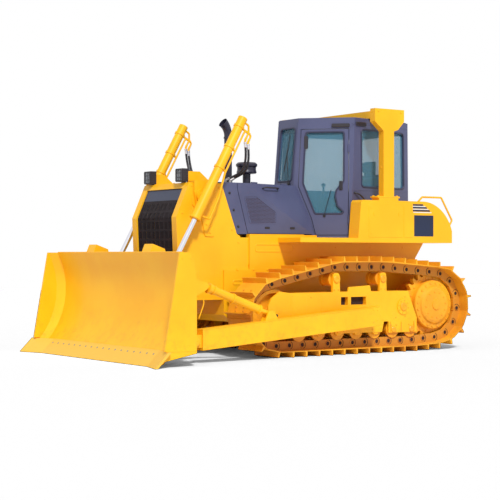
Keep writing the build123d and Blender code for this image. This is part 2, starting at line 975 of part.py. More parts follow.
with BuildPart() as hood_top:
    add(hood_left.part)
    both_sides()
finish(hood_top, "hood_top")

with BuildPart() as engine_cover_left:
    add(hood_shell.part)
    add(cover_region(panel_gap), mode=Mode.INTERSECT)
    cab_solid(-cover_rear_gap, floor_z, cab_top, mode=Mode.SUBTRACT)
    knuckles(cover_hinge_start, hinge_edge, cover_hinges, False, hinge_r)
    knuckles(cover_hinge_start, hinge_edge, cover_hinges, True, knuckle_room_r, mode=Mode.SUBTRACT)
finish(engine_cover_left, "engine_cover_left")
mirrored("engine_cover_right", engine_cover_left)

# Exhaust stack and air precleaner on the hood
stack_x = axle_x + 2655.0
stack_r = 51.0
stack_wall = 4.0
stack_steps = [
    ((stack_x, 2850.0), 0.0, stack_r),
    ((stack_x + 22, 2935.0), 22.0, stack_r + 5),
    ((stack_x + 82, 3012.0), 52.0, stack_r + 16),
]


def stack_mouth(shrink, mode=Mode.ADD):
    # the flared mouth, bent forward
    rings = []
    for (x, z), lean, radius in stack_steps:
        tilt = math.radians(lean)
        plane = Plane(origin=(x, 0, z), x_dir=(0, 1, 0), z_dir=(math.sin(tilt), 0, math.cos(tilt)))
        with BuildSketch(plane) as ring:
            Circle(radius - shrink)
        rings.append(ring.sketch)
    loft(rings, mode=mode)


with BuildPart() as exhaust_stack:
    with BuildSketch(Plane.XY.offset(hood_top_z)) as foot:
        with Locations((stack_x, 0)):
            Circle(stack_r)
    extrude(foot.sketch, amount=stack_steps[0][0][1] - hood_top_z)
    stack_mouth(0)
    stack_mouth(stack_wall, mode=Mode.SUBTRACT)
finish(exhaust_stack, "exhaust_stack")

cleaner_x = axle_x + 2359.0
with BuildPart() as air_precleaner:
    with BuildSketch(Plane.XZ) as cleaner:
        with BuildLine():
            Polyline(
                (cleaner_x, hood_top_z),
                (cleaner_x + 52, hood_top_z),
                (cleaner_x + 52, 2345),
                (cleaner_x + 112, 2358),
                (cleaner_x + 125, 2378),
                (cleaner_x + 125, 2440),
                (cleaner_x + 142, 2452),
                (cleaner_x + 142, 2478),
                (cleaner_x + 118, 2500),
                (cleaner_x, 2512),
                close=True,
            )
        make_face()
    revolve(cleaner.sketch, axis=Axis((cleaner_x, 0, 0), (0, 0, 1)))
finish(air_precleaner, "air_precleaner")

# Floor plate and fenders over the tracks
with BuildPart() as floor_frame:
    plan_plate(
        [
            (tank_front_x, -fender_half),
            (fender_front_x, -fender_half),
            (fender_front_x, -hull_half),
            (bay_rear_x, -hull_half),
            (bay_rear_x, hull_half),
            (fender_front_x, hull_half),
            (fender_front_x, fender_half),
            (tank_front_x, fender_half),
        ],
        hull_top,
        floor_z,
    )
    block(
        (hood_rear_x, bay_rear_x),
        (-hull_half, hull_half),
        (floor_z - 1, hood_bottom - panel_gap),
    )
    add(cab_space.part, mode=Mode.SUBTRACT)
finish(floor_frame, "floor_frame")

# Fuel tank behind the cab and a box on each fender, with one curved outline
with BuildPart() as rear_housing:
    with BuildSketch(Plane.XZ.offset(-fender_half)) as housing:
        with BuildLine():
            Polyline(
                (axle_x + 190, box_top),
                (box_front_x - 30, box_top),
                (box_front_x, box_top - 30),
                (box_front_x + 50, floor_z),
                (tank_front_x, floor_z),
                (tank_front_x, hull_top),
                (tank_rear_x, hull_top),
                (tank_rear_x, 1600),
            )
            ThreePointArc((tank_rear_x, 1600), (axle_x - 160, 1885), (axle_x + 190, box_top))
        make_face()
    extrude(housing.sketch, amount=2 * fender_half)

with BuildPart() as fuel_tank:
    add(rear_housing.part)
    block((tank_front_x, box_front_x + 100), (-2000, 2000), (0, 3000), mode=Mode.SUBTRACT)
finish(fuel_tank, "fuel_tank")

box_gap = 25.0


def cab_side_y(x):
    # the cab's rear side wall at floor height
    return cab_post_low[1] - cab_tail_slope * (cab_post_low[0] - x)


with BuildPart() as side_boxes:
    add(rear_housing.part)
    plan_plate(
        [
            (tank_front_x, cab_side_y(tank_front_x) + box_gap),
            (box_front_x + 60, cab_side_y(box_front_x + 60) + box_gap),
            (box_front_x + 60, fender_half + 10),
            (tank_front_x, fender_half + 10),
        ],
        0,
        3000,
        mode=Mode.INTERSECT,
    )
    both_sides()
finish(side_boxes, "side_boxes")

# Roll-over frame: two posts on the boxes carry a deep beam over the cab
flange = 35.0
with BuildPart() as rops_frame:
    block((post_x[0], post_x[1]), (post_inner, fender_half), (box_top, 2945))
    block((post_x[0] - 75, post_x[1] + 75), (post_inner - 50, fender_half), (box_top, box_top + flange))
    side_plate(
        [
            (gusset_x[0], gusset_top),
            (gusset_x[1], gusset_top),
            (gusset_x[1], 3042),
            (post_x[1], 2922),
            (post_x[0], 2922),
            (axle_x + 620, 2945),
            (gusset_x[0], 3057),
        ],
        post_inner,
        fender_half,
    )
    both_sides()
    block(beam_x, (-post_inner - 1, post_inner + 1), beam_z)
finish(rops_frame, "rops_frame")


def rail_tube(points, bend, radius):
    # a bent round tube through the points
    with BuildLine() as path:
        FilletPolyline(*points, radius=bend)
    start = path.wire() @ 0
    with BuildSketch(Plane(origin=start, z_dir=path.wire() % 0)) as section:
        Circle(radius)
    sweep(section.sketch, path=path.wire())


rail_y = 960.0
rail_r = 13.0
with BuildPart() as rear_handrails:
    rail_tube(
        [
            (axle_x + 190, rail_y, box_top),
            (axle_x + 120, rail_y, 2064),
            (axle_x - 230, rail_y, 2064),
            (axle_x - 430, rail_y, 1755),
            (tank_rear_x, rail_y, 1640),
        ],
        30,
        rail_r,
    )
    add(rear_housing.part, mode=Mode.SUBTRACT)
    both_sides()
finish(rear_handrails, "rear_handrails")

# Cab: a leaning six-sided shell with its windows and door openings cut
def wall_plane(k):
    # the outer face of wall k, its X along the floor and its Y up the wall
    low = cab_plan(floor_z)
    high = cab_plan(cab_top)
    start = Vector(*low[k], floor_z)
    along = Vector(*low[(k + 1) % 6], floor_z) - start
    up = Vector(*high[k], cab_top) - start
    return Plane(origin=start, x_dir=along, z_dir=along.cross(up))


front_wall, left_door_wall, left_wall, rear_wall = (wall_plane(k) for k in range(4))
door_outline = [(785, 45), (785, 1455), (152, 1455), (118, 700), (303, 256), (357, 45)]
door_window = [(722, 330), (722, 1415), (214, 1415), (182, 740), (345, 330)]
front_window = [(50, 775), (376, 775), (384, 1485), (58, 1485)]
side_window = [(238, 690), (1150, 690), (1150, 1450), (238, 1450)]
rear_window = [(90, 690), (1010, 690), (1010, 1450), (90, 1450)]


def wall_panel(wall, points, corner, grow, near, far, mode=Mode.ADD):
    # an outline on a wall, between two depths below the wall's outer face
    with BuildSketch(wall.offset(-far)) as panel:
        with BuildLine():
            Polyline(*points, close=True)
        make_face()
        if corner:
            fillet(panel.vertices(), corner)
        if grow:
            offset(amount=grow, kind=Kind.INTERSECTION, mode=Mode.REPLACE)
    extrude(panel.sketch, amount=far - near, mode=mode)


door_hinges = (250.0, 1200.0)         # up the wall from the floor
door_hinge_dir = left_door_wall.y_dir
door_hinge_start = left_door_wall.from_local_coords(
    Vector(door_outline[0][0] + panel_gap / 2, 0, hinge_rise)
)
cab_bottom_plate = 40.0
cab_roof = 60.0
window_corner = 50.0
with BuildPart() as cab_shell:
    cab_solid(0, floor_z, cab_top)
    cab_solid(cab_wall, floor_z + cab_bottom_plate, cab_top - cab_roof, mode=Mode.SUBTRACT)
    wall_panel(left_wall, side_window, window_corner, 0, -60, cab_wall + 60, mode=Mode.SUBTRACT)
    wall_panel(left_door_wall, door_outline, 0, panel_gap, -60, cab_wall + 20, mode=Mode.SUBTRACT)
    split(bisect_by=Plane.XZ, keep=Keep.BOTTOM)
    knuckles(door_hinge_start, door_hinge_dir, door_hinges, True, hinge_r)
    knuckles(door_hinge_start, door_hinge_dir, door_hinges, False, knuckle_room_r, mode=Mode.SUBTRACT)
    both_sides()
    wall_panel(front_wall, front_window, window_corner, 0, -60, cab_wall + 20, mode=Mode.SUBTRACT)
    wall_panel(rear_wall, rear_window, window_corner, 0, -60, cab_wall + 20, mode=Mode.SUBTRACT)
finish(cab_shell, "cab_shell")

pane_near = (cab_wall - glass_thickness) / 2
with BuildPart() as cab_glass:
    wall_panel(left_wall, side_window, window_corner, -glass_seat, pane_near, pane_near + glass_thickness)
    both_sides()
    wall_panel(front_wall, front_window, window_corner, -glass_seat, pane_near, pane_near + glass_thickness)
    wall_panel(rear_wall, rear_window, window_corner, -glass_seat, pane_near, pane_near + glass_thickness)
finish(cab_glass, "cab_glass")

with BuildPart() as cab_door_left:
    wall_panel(left_door_wall, door_outline, 0, 0, 0, door_thickness)
    wall_panel(left_door_wall, door_window, window_corner, 0, -10, door_thickness + 10, mode=Mode.SUBTRACT)
    knuckles(door_hinge_start, door_hinge_dir, door_hinges, False, hinge_r)
    knuckles(door_hinge_start, door_hinge_dir, door_hinges, True, knuckle_room_r, mode=Mode.SUBTRACT)
finish(cab_door_left, "cab_door_left")
mirrored("cab_door_right", cab_door_left)

door_pane_near = (door_thickness - glass_thickness) / 2
with BuildPart() as door_glass_left:
    door_pane_far = door_pane_near + glass_thickness
    wall_panel(left_door_wall, door_window, window_corner, -glass_seat, door_pane_near, door_pane_far)
finish(door_glass_left, "door_glass_left")
mirrored("door_glass_right", door_glass_left)

# Driver's seat and controls on the cab floor
cab_floor = floor_z + cab_bottom_plate
seat_x = axle_x + 300.0
with BuildPart() as seat_base:
    block((seat_x, seat_x + 460), (-180, 180), (cab_floor, 1880))
finish(seat_base, "seat_base")
with BuildPart() as seat_cushion:
    block((seat_x - 20, seat_x + 500), (-250, 250), (1880, 2010))
    fillet(seat_cushion.edges().filter_by(Axis.Z), 60)
finish(seat_cushion, "seat_cushion")
with BuildPart() as seat_back:
    side_plate(
        [(seat_x - 20, 2010), (seat_x + 110, 2010), (seat_x + 45, 2390), (seat_x - 75, 2390)],
        -240,
        240,
    )
    side_plate(
        [(seat_x - 70, 2385), (seat_x + 30, 2385), (seat_x + 20, 2590), (seat_x - 55, 2600), (seat_x - 85, 2570)],
        -130,
        130,
    )
finish(seat_back, "seat_back")
with BuildPart() as cab_controls:
    block((axle_x + 1440, axle_x + 1600), (-140, 140), (cab_floor, 2050))
    side_plate(
        [(axle_x + 1400, 2050), (axle_x + 1600, 2050), (axle_x + 1600, 2190), (axle_x + 1520, 2200)],
        -140,
        140,
    )
    block((seat_x + 60, seat_x + 560), (290, 400), (cab_floor, 2080))
    with Locations((seat_x + 500, 345, 2160)):
        Cylinder(14, 180)
        with Locations((0, 0, 100)):
            Sphere(30)
    both_sides()
finish(cab_controls, "cab_controls")

# Drawbar at the rear
drawbar_z = 560.0
drawbar_half = 45.0
drawbar_pin_x = axle_x - 540.0
drawbar_end_r = 80.0
drawbar_pin_r = 24.0
with BuildPart() as drawbar:
    block(
        (drawbar_pin_x, hull_rear_x),
        (-drawbar_end_r, drawbar_end_r),
        (drawbar_z - drawbar_half, drawbar_z + drawbar_half),
    )
    block((hull_rear_x - 40, hull_rear_x), (-200, 200), (drawbar_z, drawbar_z + 100))
    with Locations((drawbar_pin_x, 0, drawbar_z)):
        Cylinder(drawbar_end_r, 2 * drawbar_half)
        Cylinder(drawbar_pin_r, 2 * drawbar_half + 2, mode=Mode.SUBTRACT)
finish(drawbar, "drawbar")

# Blade: a curved board between end plates, with beams, ribs and lugs behind it
def circle_through(a, b, c):
    # centre of the circle through three points
    ax, az = a
    bx, bz = b
    cx, cz = c
    scale = 2 * (ax * (bz - cz) + bx * (cz - az) + cx * (az - bz))
    sa, sb, sc = ax * ax + az * az, bx * bx + bz * bz, cx * cx + cz * cz
    x = (sa * (bz - cz) + sb * (cz - az) + sc * (az - bz)) / scale
    z = (sa * (cx - bx) + sb * (ax - cx) + sc * (bx - ax)) / scale
    return x, z


board_top = (board_top_x, blade_top)
board_centre = circle_through(board_top, board_deep, board_foot)
board_r = math.dist(board_centre, board_deep)


def board_line(z):
    # X of the middle of the board's thickness at this height
    if z < board_foot[1]:
        return board_foot[0] + (board_foot[1] - z) - board_thickness / 2
    return board_centre[0] - math.sqrt(board_r**2 - (z - board_centre[1]) ** 2) - board_thickness / 2


board_end_z = 30.0
board_end = (board_foot[0] + board_foot[1] - board_end_z, board_end_z)
corner_start = blade_half - end_plate - corner_run


def board_section(y):
    # the board's section, on the plane at this Y
    def back(point):
        return (point[0] - board_thickness, point[1])

    with BuildSketch(Plane.XZ.offset(-y)) as section:
        with BuildLine():
            ThreePointArc(board_top, board_deep, board_foot)
            Polyline(board_foot, board_end, back(board_end), back(board_foot))
            ThreePointArc(back(board_foot), back(board_deep), back(board_top))
            Line(back(board_top), board_top)
        make_face()
    return section.sketch


def rear_plate(points, y_middle, thickness):
    side_plate(points, y_middle - thickness / 2, y_middle + thickness / 2)


def along_board(high, low):
    # points down the board between two heights, close enough to follow its curve
    count = math.ceil((high - low) / 90)
    heights = [high + (low - high) * k / count for k in range(count + 1)]
    return [(board_line(z), z) for z in heights]


beam_low = [
    (board_line(460), 460),
    (rib_x, 440),
    (rib_x, 175),
    (board_line(120) - 60, 120),
    (board_line(120), 120),
    (board_line(180), 180),
    (board_line(300), 300),
]
beam_high = [
    (rib_x + 60, blade_top - 20),
    (rib_x, blade_top - 90),
    (rib_x, 1040),
    *reversed(along_board(blade_top - 15, 1000)),
]
web = [*along_board(1010, 450), (rib_x, 435), (rib_x, 1045)]
ear = [
    *reversed(along_board(1290, 740)),
    (board_top_x - 20, 1300),
    (axle_x + 4278, 1412),
    (axle_x + 4110, 1352),
    (lift_pin_x - 65, 1000),
    (lift_pin_x - 72, lift_pin_z),
    (lift_pin_x - 45, lift_pin_z - 60),
    (lift_pin_x + 10, lift_pin_z - 75),
]
lug_reach = tongue_r + 2
arm_lug = [
    (rib_x + 5, 435),
    (ball_x - 30, ball_z + lug_reach),
    (ball_x - lug_reach, ball_z + 20),
    (ball_x - lug_reach, ball_z - 20),
    (ball_x - 30, ball_z - lug_reach),
    (rib_x + 5, 178),
]
brace_lug = [
    *reversed(along_board(1030, 700)),
    (brace_front[0] + 20, brace_front[1] + 50),
    (brace_front[0] - 35, brace_front[1] + 35),
    (brace_front[0] - 50, brace_front[1] - 10),
    (brace_front[0] - 15, brace_front[1] - 50),
]
lug = 22.0
tongue_half = 50.0
brace_eye_half = 28.0
brace_pin_r = 24.0
with BuildPart() as blade:
    extrude(board_section(corner_start), amount=corner_start)
    extrude(board_section(corner_start), amount=corner_run * math.sqrt(2), dir=(1, 1, 0))
    side_plate(
        [
            (board_top_x + 97, blade_top),
            (axle_x + 4643, 184),
            (board_foot[0] + corner_run - 5, 184),
            (board_foot[0] + corner_run + 116, 63),
            (axle_x + 4214, 150),
            (axle_x + 4214, 990),
            (axle_x + 4290, blade_top),
        ],
        blade_half - end_plate,
        blade_half,
    )
    side_plate(beam_low, 0, corner_start)
    side_plate(beam_high, 0, corner_start)
    for y in (lug / 2, 330, 1000, corner_start - lug / 2):
        rear_plate(web, y, lug)
    for y in (lift_y - ear_gap / 2 - ear_plate / 2, lift_y + ear_gap / 2 + ear_plate / 2):
        rear_plate(ear, y, ear_plate)
    side_plate(
        [(board_top_x - 20, 1300), (axle_x + 4278, 1412), (axle_x + 4262, 1406), (board_top_x - 38, 1295)],
        lift_y - ear_gap / 2,
        lift_y + ear_gap / 2,
    )
    for side in (-1, 1):
        inner = eye_width / 2 + 5
        outer = ear_gap / 2 + 1
        low, high = sorted((lift_y + side * inner, lift_y + side * outer))
        cross_bar(lift_pin_x, lift_pin_z, 46, low, high)
        rear_plate(arm_lug, arm_inner + arm_width / 2 + side * (tongue_half + 3 + lug / 2), lug)
        rear_plate(brace_lug, brace_y + side * (brace_eye_half + 3 + lug / 2), lug)
    arm_y = arm_inner + arm_width / 2
    cross_bar(ball_x, ball_z, ball_pin_r, arm_y - tongue_half - lug, arm_y + tongue_half + lug)
    cross_bar(ball_x, ball_z, ball_pin_r + 20, arm_y + tongue_half + lug, arm_y + tongue_half + lug + 22)
    cross_bar(*brace_front, brace_pin_r, brace_y - brace_eye_half - lug, brace_y + brace_eye_half + lug)
    both_sides()
finish(blade, "blade")

# Cutting edge across the middle and an end bit at each corner, turned forward
edge_top = 176.0


def edge_section():
    # the bevelled plate in front of the board's foot, down to the ground
    front = edge_thickness * math.sqrt(2)
    x = board_foot[0] + board_foot[1]
    return [(x - edge_top, edge_top), (x, 0), (x + front, 0), (x + front - edge_top, edge_top)]


with BuildPart() as cutting_edge:
    side_plate(edge_section(), -edge_half, edge_half)
finish(cutting_edge, "cutting_edge")

with BuildPart() as end_bits:
    with BuildSketch(Plane.XZ.offset(-edge_half)) as bit:
        with BuildLine():
            Polyline(*edge_section(), close=True)
        make_face()
    bit_run = bit_half - edge_half
    extrude(bit.sketch, amount=math.hypot(bit_run, bit_reach), dir=(bit_reach, bit_run, 0))
    both_sides()
finish(end_bits, "end_bits")

# Push arms outside the tracks
def arm_top(x):
    share = (x - arm_rear_x) / (arm_front_x - arm_rear_x)
    return arm_rear_top + (arm_front_top - arm_rear_top) * share


with BuildPart() as push_arms:
    side_plate(
        [
            (arm_rear_x, arm_rear_top),
            (arm_front_x, arm_front_top),
            (arm_front_x, arm_front_top - arm_height),
            (arm_rear_x, arm_rear_top - arm_height),
        ],
        arm_inner,
        arm_inner + arm_width,
    )
    side_plate(
        [
            (arm_front_x - 20, ball_z + tongue_r),
            (ball_x, ball_z + tongue_r),
            (ball_x, ball_z - tongue_r),
            (arm_front_x - 20, ball_z - tongue_r),
        ],
        arm_y - tongue_half,
        arm_y + tongue_half,
    )
    cross_bar(ball_x, ball_z, tongue_r, arm_y - tongue_half, arm_y + tongue_half)
    ball_bore_r = ball_pin_r + running_clearance
    cross_bar(ball_x, ball_z, ball_bore_r, arm_inner, arm_inner + arm_width, mode=Mode.SUBTRACT)
    cross_bar(
        trunnion_x,
        trunnion_z,
        trunnion_r + running_clearance,
        arm_inner - 1,
        arm_inner + arm_width - 35,
        mode=Mode.SUBTRACT,
    )
    brace_x, brace_z = brace_rear
    for side in (-1, 1):
        rear_plate(
            [
                (brace_x - 100, arm_top(brace_x - 100) - 5),
                (brace_x - 40, brace_z + 38),
                (brace_x + 40, brace_z + 38),
                (brace_x + 100, arm_top(brace_x + 100) - 5),
            ],
            brace_y + side * (brace_eye_half + 3 + lug / 2),
            lug,
        )
    cross_bar(brace_x, brace_z, brace_pin_r, brace_y - brace_eye_half - lug, brace_y + brace_eye_half + lug)
    both_sides()
finish(push_arms, "push_arms")

# Tilt cylinder on the left and tilt brace on the right, between arm and blade
brace_length = math.dist(brace_rear, brace_front)
brace_dir = ((brace_front[0] - brace_rear[0]) / brace_length, (brace_front[1] - brace_rear[1]) / brace_length)


def brace_bar(start, end, radius, side):
    # a round bar along the line between the two eyes
    plane = Plane(
        origin=(brace_rear[0] + brace_dir[0] * start, side * brace_y, brace_rear[1] + brace_dir[1] * start),
        x_dir=(0, 1, 0),
        z_dir=(brace_dir[0], 0, brace_dir[1]),
    )
    with BuildSketch(plane) as section:
        Circle(radius)
    extrude(section.sketch, amount=end - start)


def brace(side, bars):
    # two eyes and the bars between them
    for x, z in (brace_rear, brace_front):
        cross_bar(x, z, 46, side * brace_y - brace_eye_half, side * brace_y + brace_eye_half)
    for start, end, radius in bars:
        brace_bar(start, end, radius, side)
    for x, z in (brace_rear, brace_front):
        cross_bar(
            x,
            z,
            brace_pin_r + running_clearance,
            side * brace_y - brace_eye_half - 40,
            side * brace_y + brace_eye_half + 40,
            mode=Mode.SUBTRACT,
        )


with BuildPart() as tilt_cylinder:
    brace(1, [(20, 200, 26), (150, 930, brace_r), (900, 935, brace_r + 8), (900, brace_length - 20, 30)])
finish(tilt_cylinder, "tilt_cylinder")
with BuildPart() as tilt_brace:
    brace(-1, [(20, 200, 30), (150, 760, brace_r - 4), (740, 800, brace_r + 4), (760, brace_length - 20, 30)])
finish(tilt_brace, "tilt_brace")

# Lift cylinders on each side of the radiator guard
lift_length = math.dist((gimbal_x, gimbal_z), (lift_pin_x, lift_pin_z))
lift_dir = ((lift_pin_x - gimbal_x) / lift_length, (lift_pin_z - gimbal_z) / lift_length)


def lift_bar(start, end, radius, mode=Mode.ADD):
    # a round bar along the cylinder's axis, measured from the gimbal towards the rod's eye
    plane = Plane(
        origin=(gimbal_x + lift_dir[0] * start, lift_y, gimbal_z + lift_dir[1] * start),
        x_dir=(0, 1, 0),
        z_dir=(lift_dir[0], 0, lift_dir[1]),
    )
    with BuildSketch(plane) as section:
        Circle(radius)
    extrude(section.sketch, amount=end - start, mode=mode)


def pipe_point(along, out):
    # a point beside the cylinder, so far from the gimbal and so far out to the rear
    return (
        gimbal_x + lift_dir[0] * along + lift_dir[1] * out,
        lift_y,
        gimbal_z + lift_dir[1] * along - lift_dir[0] * out,
    )


pipe_r = 13.0
pipe_bend = 30.0
pipe_root = barrel_r - 4.0            # where a pipe is welded into the barrel's wall
top_pipe = [(-1090, pipe_root), (-1090, 120), (-1010, 165), (-930, 165)]
side_pipe = [(-930, 215), (-1000, 215), (-1000, 105), (-380, 105), (-60, 175), (235, 190), (265, pipe_root)]
stub_in = guard_half + 45.0
with BuildPart() as lift_barrel_left:
    lift_bar(-barrel_up, barrel_down, barrel_r)
    lift_bar(-60, barrel_down, collar_r)
    cross_bar(gimbal_x, gimbal_z, gimbal_stub_r, stub_in, lift_y)
    for route in (top_pipe, side_pipe):
        rail_tube([pipe_point(*spot) for spot in route], pipe_bend, pipe_r)
    for along, reach in ((-1005, 192), (-700, 105), (-400, 105)):
        side_plate(
            [
                pipe_point(along - 12, pipe_root)[::2],
                pipe_point(along + 12, pipe_root)[::2],
                pipe_point(along + 12, reach)[::2],
                pipe_point(along - 12, reach)[::2],
            ],
            lift_y - 10,
            lift_y + 10,
        )
    lift_bar(-barrel_up + 30, barrel_down - gland, barrel_bore_r, mode=Mode.SUBTRACT)
    lift_bar(barrel_down - gland - 1, barrel_down + 1, lift_rod_r + running_clearance, mode=Mode.SUBTRACT)
finish(lift_barrel_left, "lift_barrel_left")
mirrored("lift_barrel_right", lift_barrel_left)

piston = 60.0
with BuildPart() as lift_rod_left:
    lift_bar(barrel_down - rod_reach, lift_length - eye_r + 10, lift_rod_r)
    lift_bar(barrel_down - rod_reach, barrel_down - rod_reach + piston, barrel_bore_r - running_clearance)
    cross_bar(lift_pin_x, lift_pin_z, eye_r, lift_y - eye_width / 2, lift_y + eye_width / 2)
    cross_bar(lift_pin_x, lift_pin_z, 38, lift_y - eye_width, lift_y + eye_width, mode=Mode.SUBTRACT)
finish(lift_rod_left, "lift_rod_left")
mirrored("lift_rod_right", lift_rod_left)

# Yokes that carry the lift cylinders on the guard's shoulders
boss_out = 628.0
with BuildPart() as cylinder_yokes:
    side_plate(
        [
            (gimbal_x - 110, gimbal_z - 150),
            (gimbal_x + 60, gimbal_z - 150),
            (gimbal_x + 100, gimbal_z + 40),
            (gimbal_x + 100, guard_top + 24),
            (gimbal_x - 110, guard_top + 24),
        ],
        guard_half,
        guard_half + 45,
    )
    cross_bar(gimbal_x, gimbal_z, gimbal_stub_r + 40, guard_half, boss_out)
    block((gimbal_x - 110, gimbal_x + 100), (415, guard_half + 1), (guard_top, guard_top + 24))
    side_plate(
        [
            (axle_x + 3235, guard_top),
            (axle_x + 3560, guard_top),
            (axle_x + 3560, 2325),
            (axle_x + 3383, 2325),
            (axle_x + 3235, 2206),
        ],
        415,
        445,
    )
    socket_r = gimbal_stub_r + running_clearance
    cross_bar(gimbal_x, gimbal_z, socket_r, stub_in - 5, boss_out + 1, mode=Mode.SUBTRACT)
    both_sides()
finish(cylinder_yokes, "cylinder_yokes")
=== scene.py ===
import math

import bpy
import numpy as np
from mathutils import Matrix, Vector


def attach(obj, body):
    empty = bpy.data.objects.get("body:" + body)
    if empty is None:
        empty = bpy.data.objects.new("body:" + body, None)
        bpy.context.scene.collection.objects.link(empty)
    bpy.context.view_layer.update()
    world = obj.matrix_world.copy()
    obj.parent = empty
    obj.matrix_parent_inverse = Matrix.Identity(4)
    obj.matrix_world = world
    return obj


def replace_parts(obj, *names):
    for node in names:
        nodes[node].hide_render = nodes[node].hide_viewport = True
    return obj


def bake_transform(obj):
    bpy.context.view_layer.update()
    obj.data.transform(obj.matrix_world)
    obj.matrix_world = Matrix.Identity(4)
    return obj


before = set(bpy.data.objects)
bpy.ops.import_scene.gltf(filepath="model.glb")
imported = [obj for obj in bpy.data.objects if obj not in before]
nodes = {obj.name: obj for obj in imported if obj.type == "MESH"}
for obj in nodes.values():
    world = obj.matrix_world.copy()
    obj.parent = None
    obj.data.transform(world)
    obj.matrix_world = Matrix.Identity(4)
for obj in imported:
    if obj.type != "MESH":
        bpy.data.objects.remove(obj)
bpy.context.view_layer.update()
scene = bpy.context.scene
print("stage: frame loaded")

view = {
    "place": (10.713, 15.033, 1.290),  # metres, in the machine's frame
    "yaw": 0.6099,  # radians, to the left of looking along -Y
    "pitch": 0.0029,
    "lens": 99.59,
}


def setCamera():
    camData = bpy.data.cameras.new("camera")
    camData.lens = view["lens"]
    camData.sensor_width = 36.0
    cam = bpy.data.objects.new("camera", camData)
    scene.collection.objects.link(cam)
    yaw, pitch = view["yaw"], view["pitch"]
    ahead = Vector((-math.sin(yaw) * math.cos(pitch), -math.cos(yaw) * math.cos(pitch), math.sin(pitch)))
    cam.location = view["place"]
    cam.rotation_euler = ahead.to_track_quat("-Z", "Y").to_euler()
    scene.camera = cam


setCamera()


class Wire:
    # a socket that can be used in sums and products; each operator adds one Math node
    def __init__(self, shader, socket):
        self.shader = shader
        self.socket = socket

    def math(self, operation, *others):
        node = self.shader.tree.nodes.new("ShaderNodeMath")
        node.operation = operation
        for socket, value in zip(node.inputs, (self, *others)):
            self.shader.feed(socket, value)
        return Wire(self.shader, node.outputs[0])

    def __add__(self, other):
        return self.math("ADD", other)

    def __rsub__(self, other):
        return (self * -1.0) + other

    def __mul__(self, other):
        return self.math("MULTIPLY", other)

    def clamp(self):
        node = self.math("ADD", 0.0)
        node.socket.node.use_clamp = True
        return node


class Shader:
    # the nodes of one material or world and the helpers that build them
    def __init__(self, owner, kind="Material"):
        self.owner = owner
        owner.use_nodes = True
        self.tree = owner.node_tree
        self.tree.nodes.clear()
        self.output = self.tree.nodes.new("ShaderNodeOutput" + kind)

    def feed(self, socket, value):
        if isinstance(value, Wire):
            self.tree.links.new(value.socket, socket)
        elif isinstance(value, (tuple, list)) and socket.type == "RGBA" and len(value) == 3:
            socket.default_value = (*value, 1.0)
        else:
            socket.default_value = value

    def add(self, kind, inputs=None, out=0, **settings):
        # any node: its settings first, then the values or links of its sockets
        node = self.tree.nodes.new("ShaderNode" + kind)
        for key, value in settings.items():
            setattr(node, key, value)
        for key, value in (inputs or {}).items():
            self.feed(node.inputs[key], value)
        return Wire(self, node.outputs[out])

    def place(self):
        return self.add("TexCoord", out=3)

    def noise(self, scale, detail, rough):
        # soft cloudy pattern, 0 to 1
        inputs = {"Scale": scale, "Detail": detail, "Roughness": rough, "Vector": self.place()}
        return self.add("TexNoise", inputs)

    def step(self, value, low, high):
        # 0 below low, 1 above high, smooth between
        inputs = {"Value": value, "From Min": low, "From Max": high}
        return self.add("MapRange", inputs, interpolation_type="SMOOTHSTEP")

    def mix(self, share, first, second):
        return self.add("Mix", {0: share, 6: first, 7: second}, 2, data_type="RGBA")

    def axis(self, vector, index):
        return self.add("SeparateXYZ", {0: vector}, index)

    def facing(self, index):
        # how far a face looks along X, Y or Z
        return self.axis(self.add("NewGeometry", out=1), index)

    def bump(self, height, strength, distance):
        return self.add("Bump", {"Height": height, "Strength": strength, "Distance": distance})

    def finish(self, kind, inputs):
        self.feed(self.output.inputs[0], self.add(kind, inputs))
        return self.owner


def surface(name):
    return Shader(bpy.data.materials.new(name))


def linear(*screen):
    # a colour picked as 0 to 255 on screen, as the renderer's own numbers
    values = [value / 255.0 for value in screen]
    return tuple(v / 12.92 if v <= 0.04045 else ((v + 0.055) / 1.055) ** 2.4 for v in values)


paintLook = {
    "dustColor": linear(200, 168, 110),
    "grimeColor": linear(150, 96, 40),
    # painted shade: the brown of the chains' shaded side faces
    "linkShadeColor": linear(206, 138, 42),
    "cloud": 1.6,  # patterns, per metre: colour drift, mottle, orange peel, dust and grime patches
    "fine": 38.0,
    "peel": 260.0,
    "dustPatch": 5.0,
    "grimePatch": 9.0,
    "grimeHeights": (0.1, 0.9),  # metres: all grime below, none above
    "dustFacing": (0.6, 0.98),  # how far up a face looks before dust lies on it
    "shoeStart": 1.05,  # metres from the middle, where the chains' faces end
}


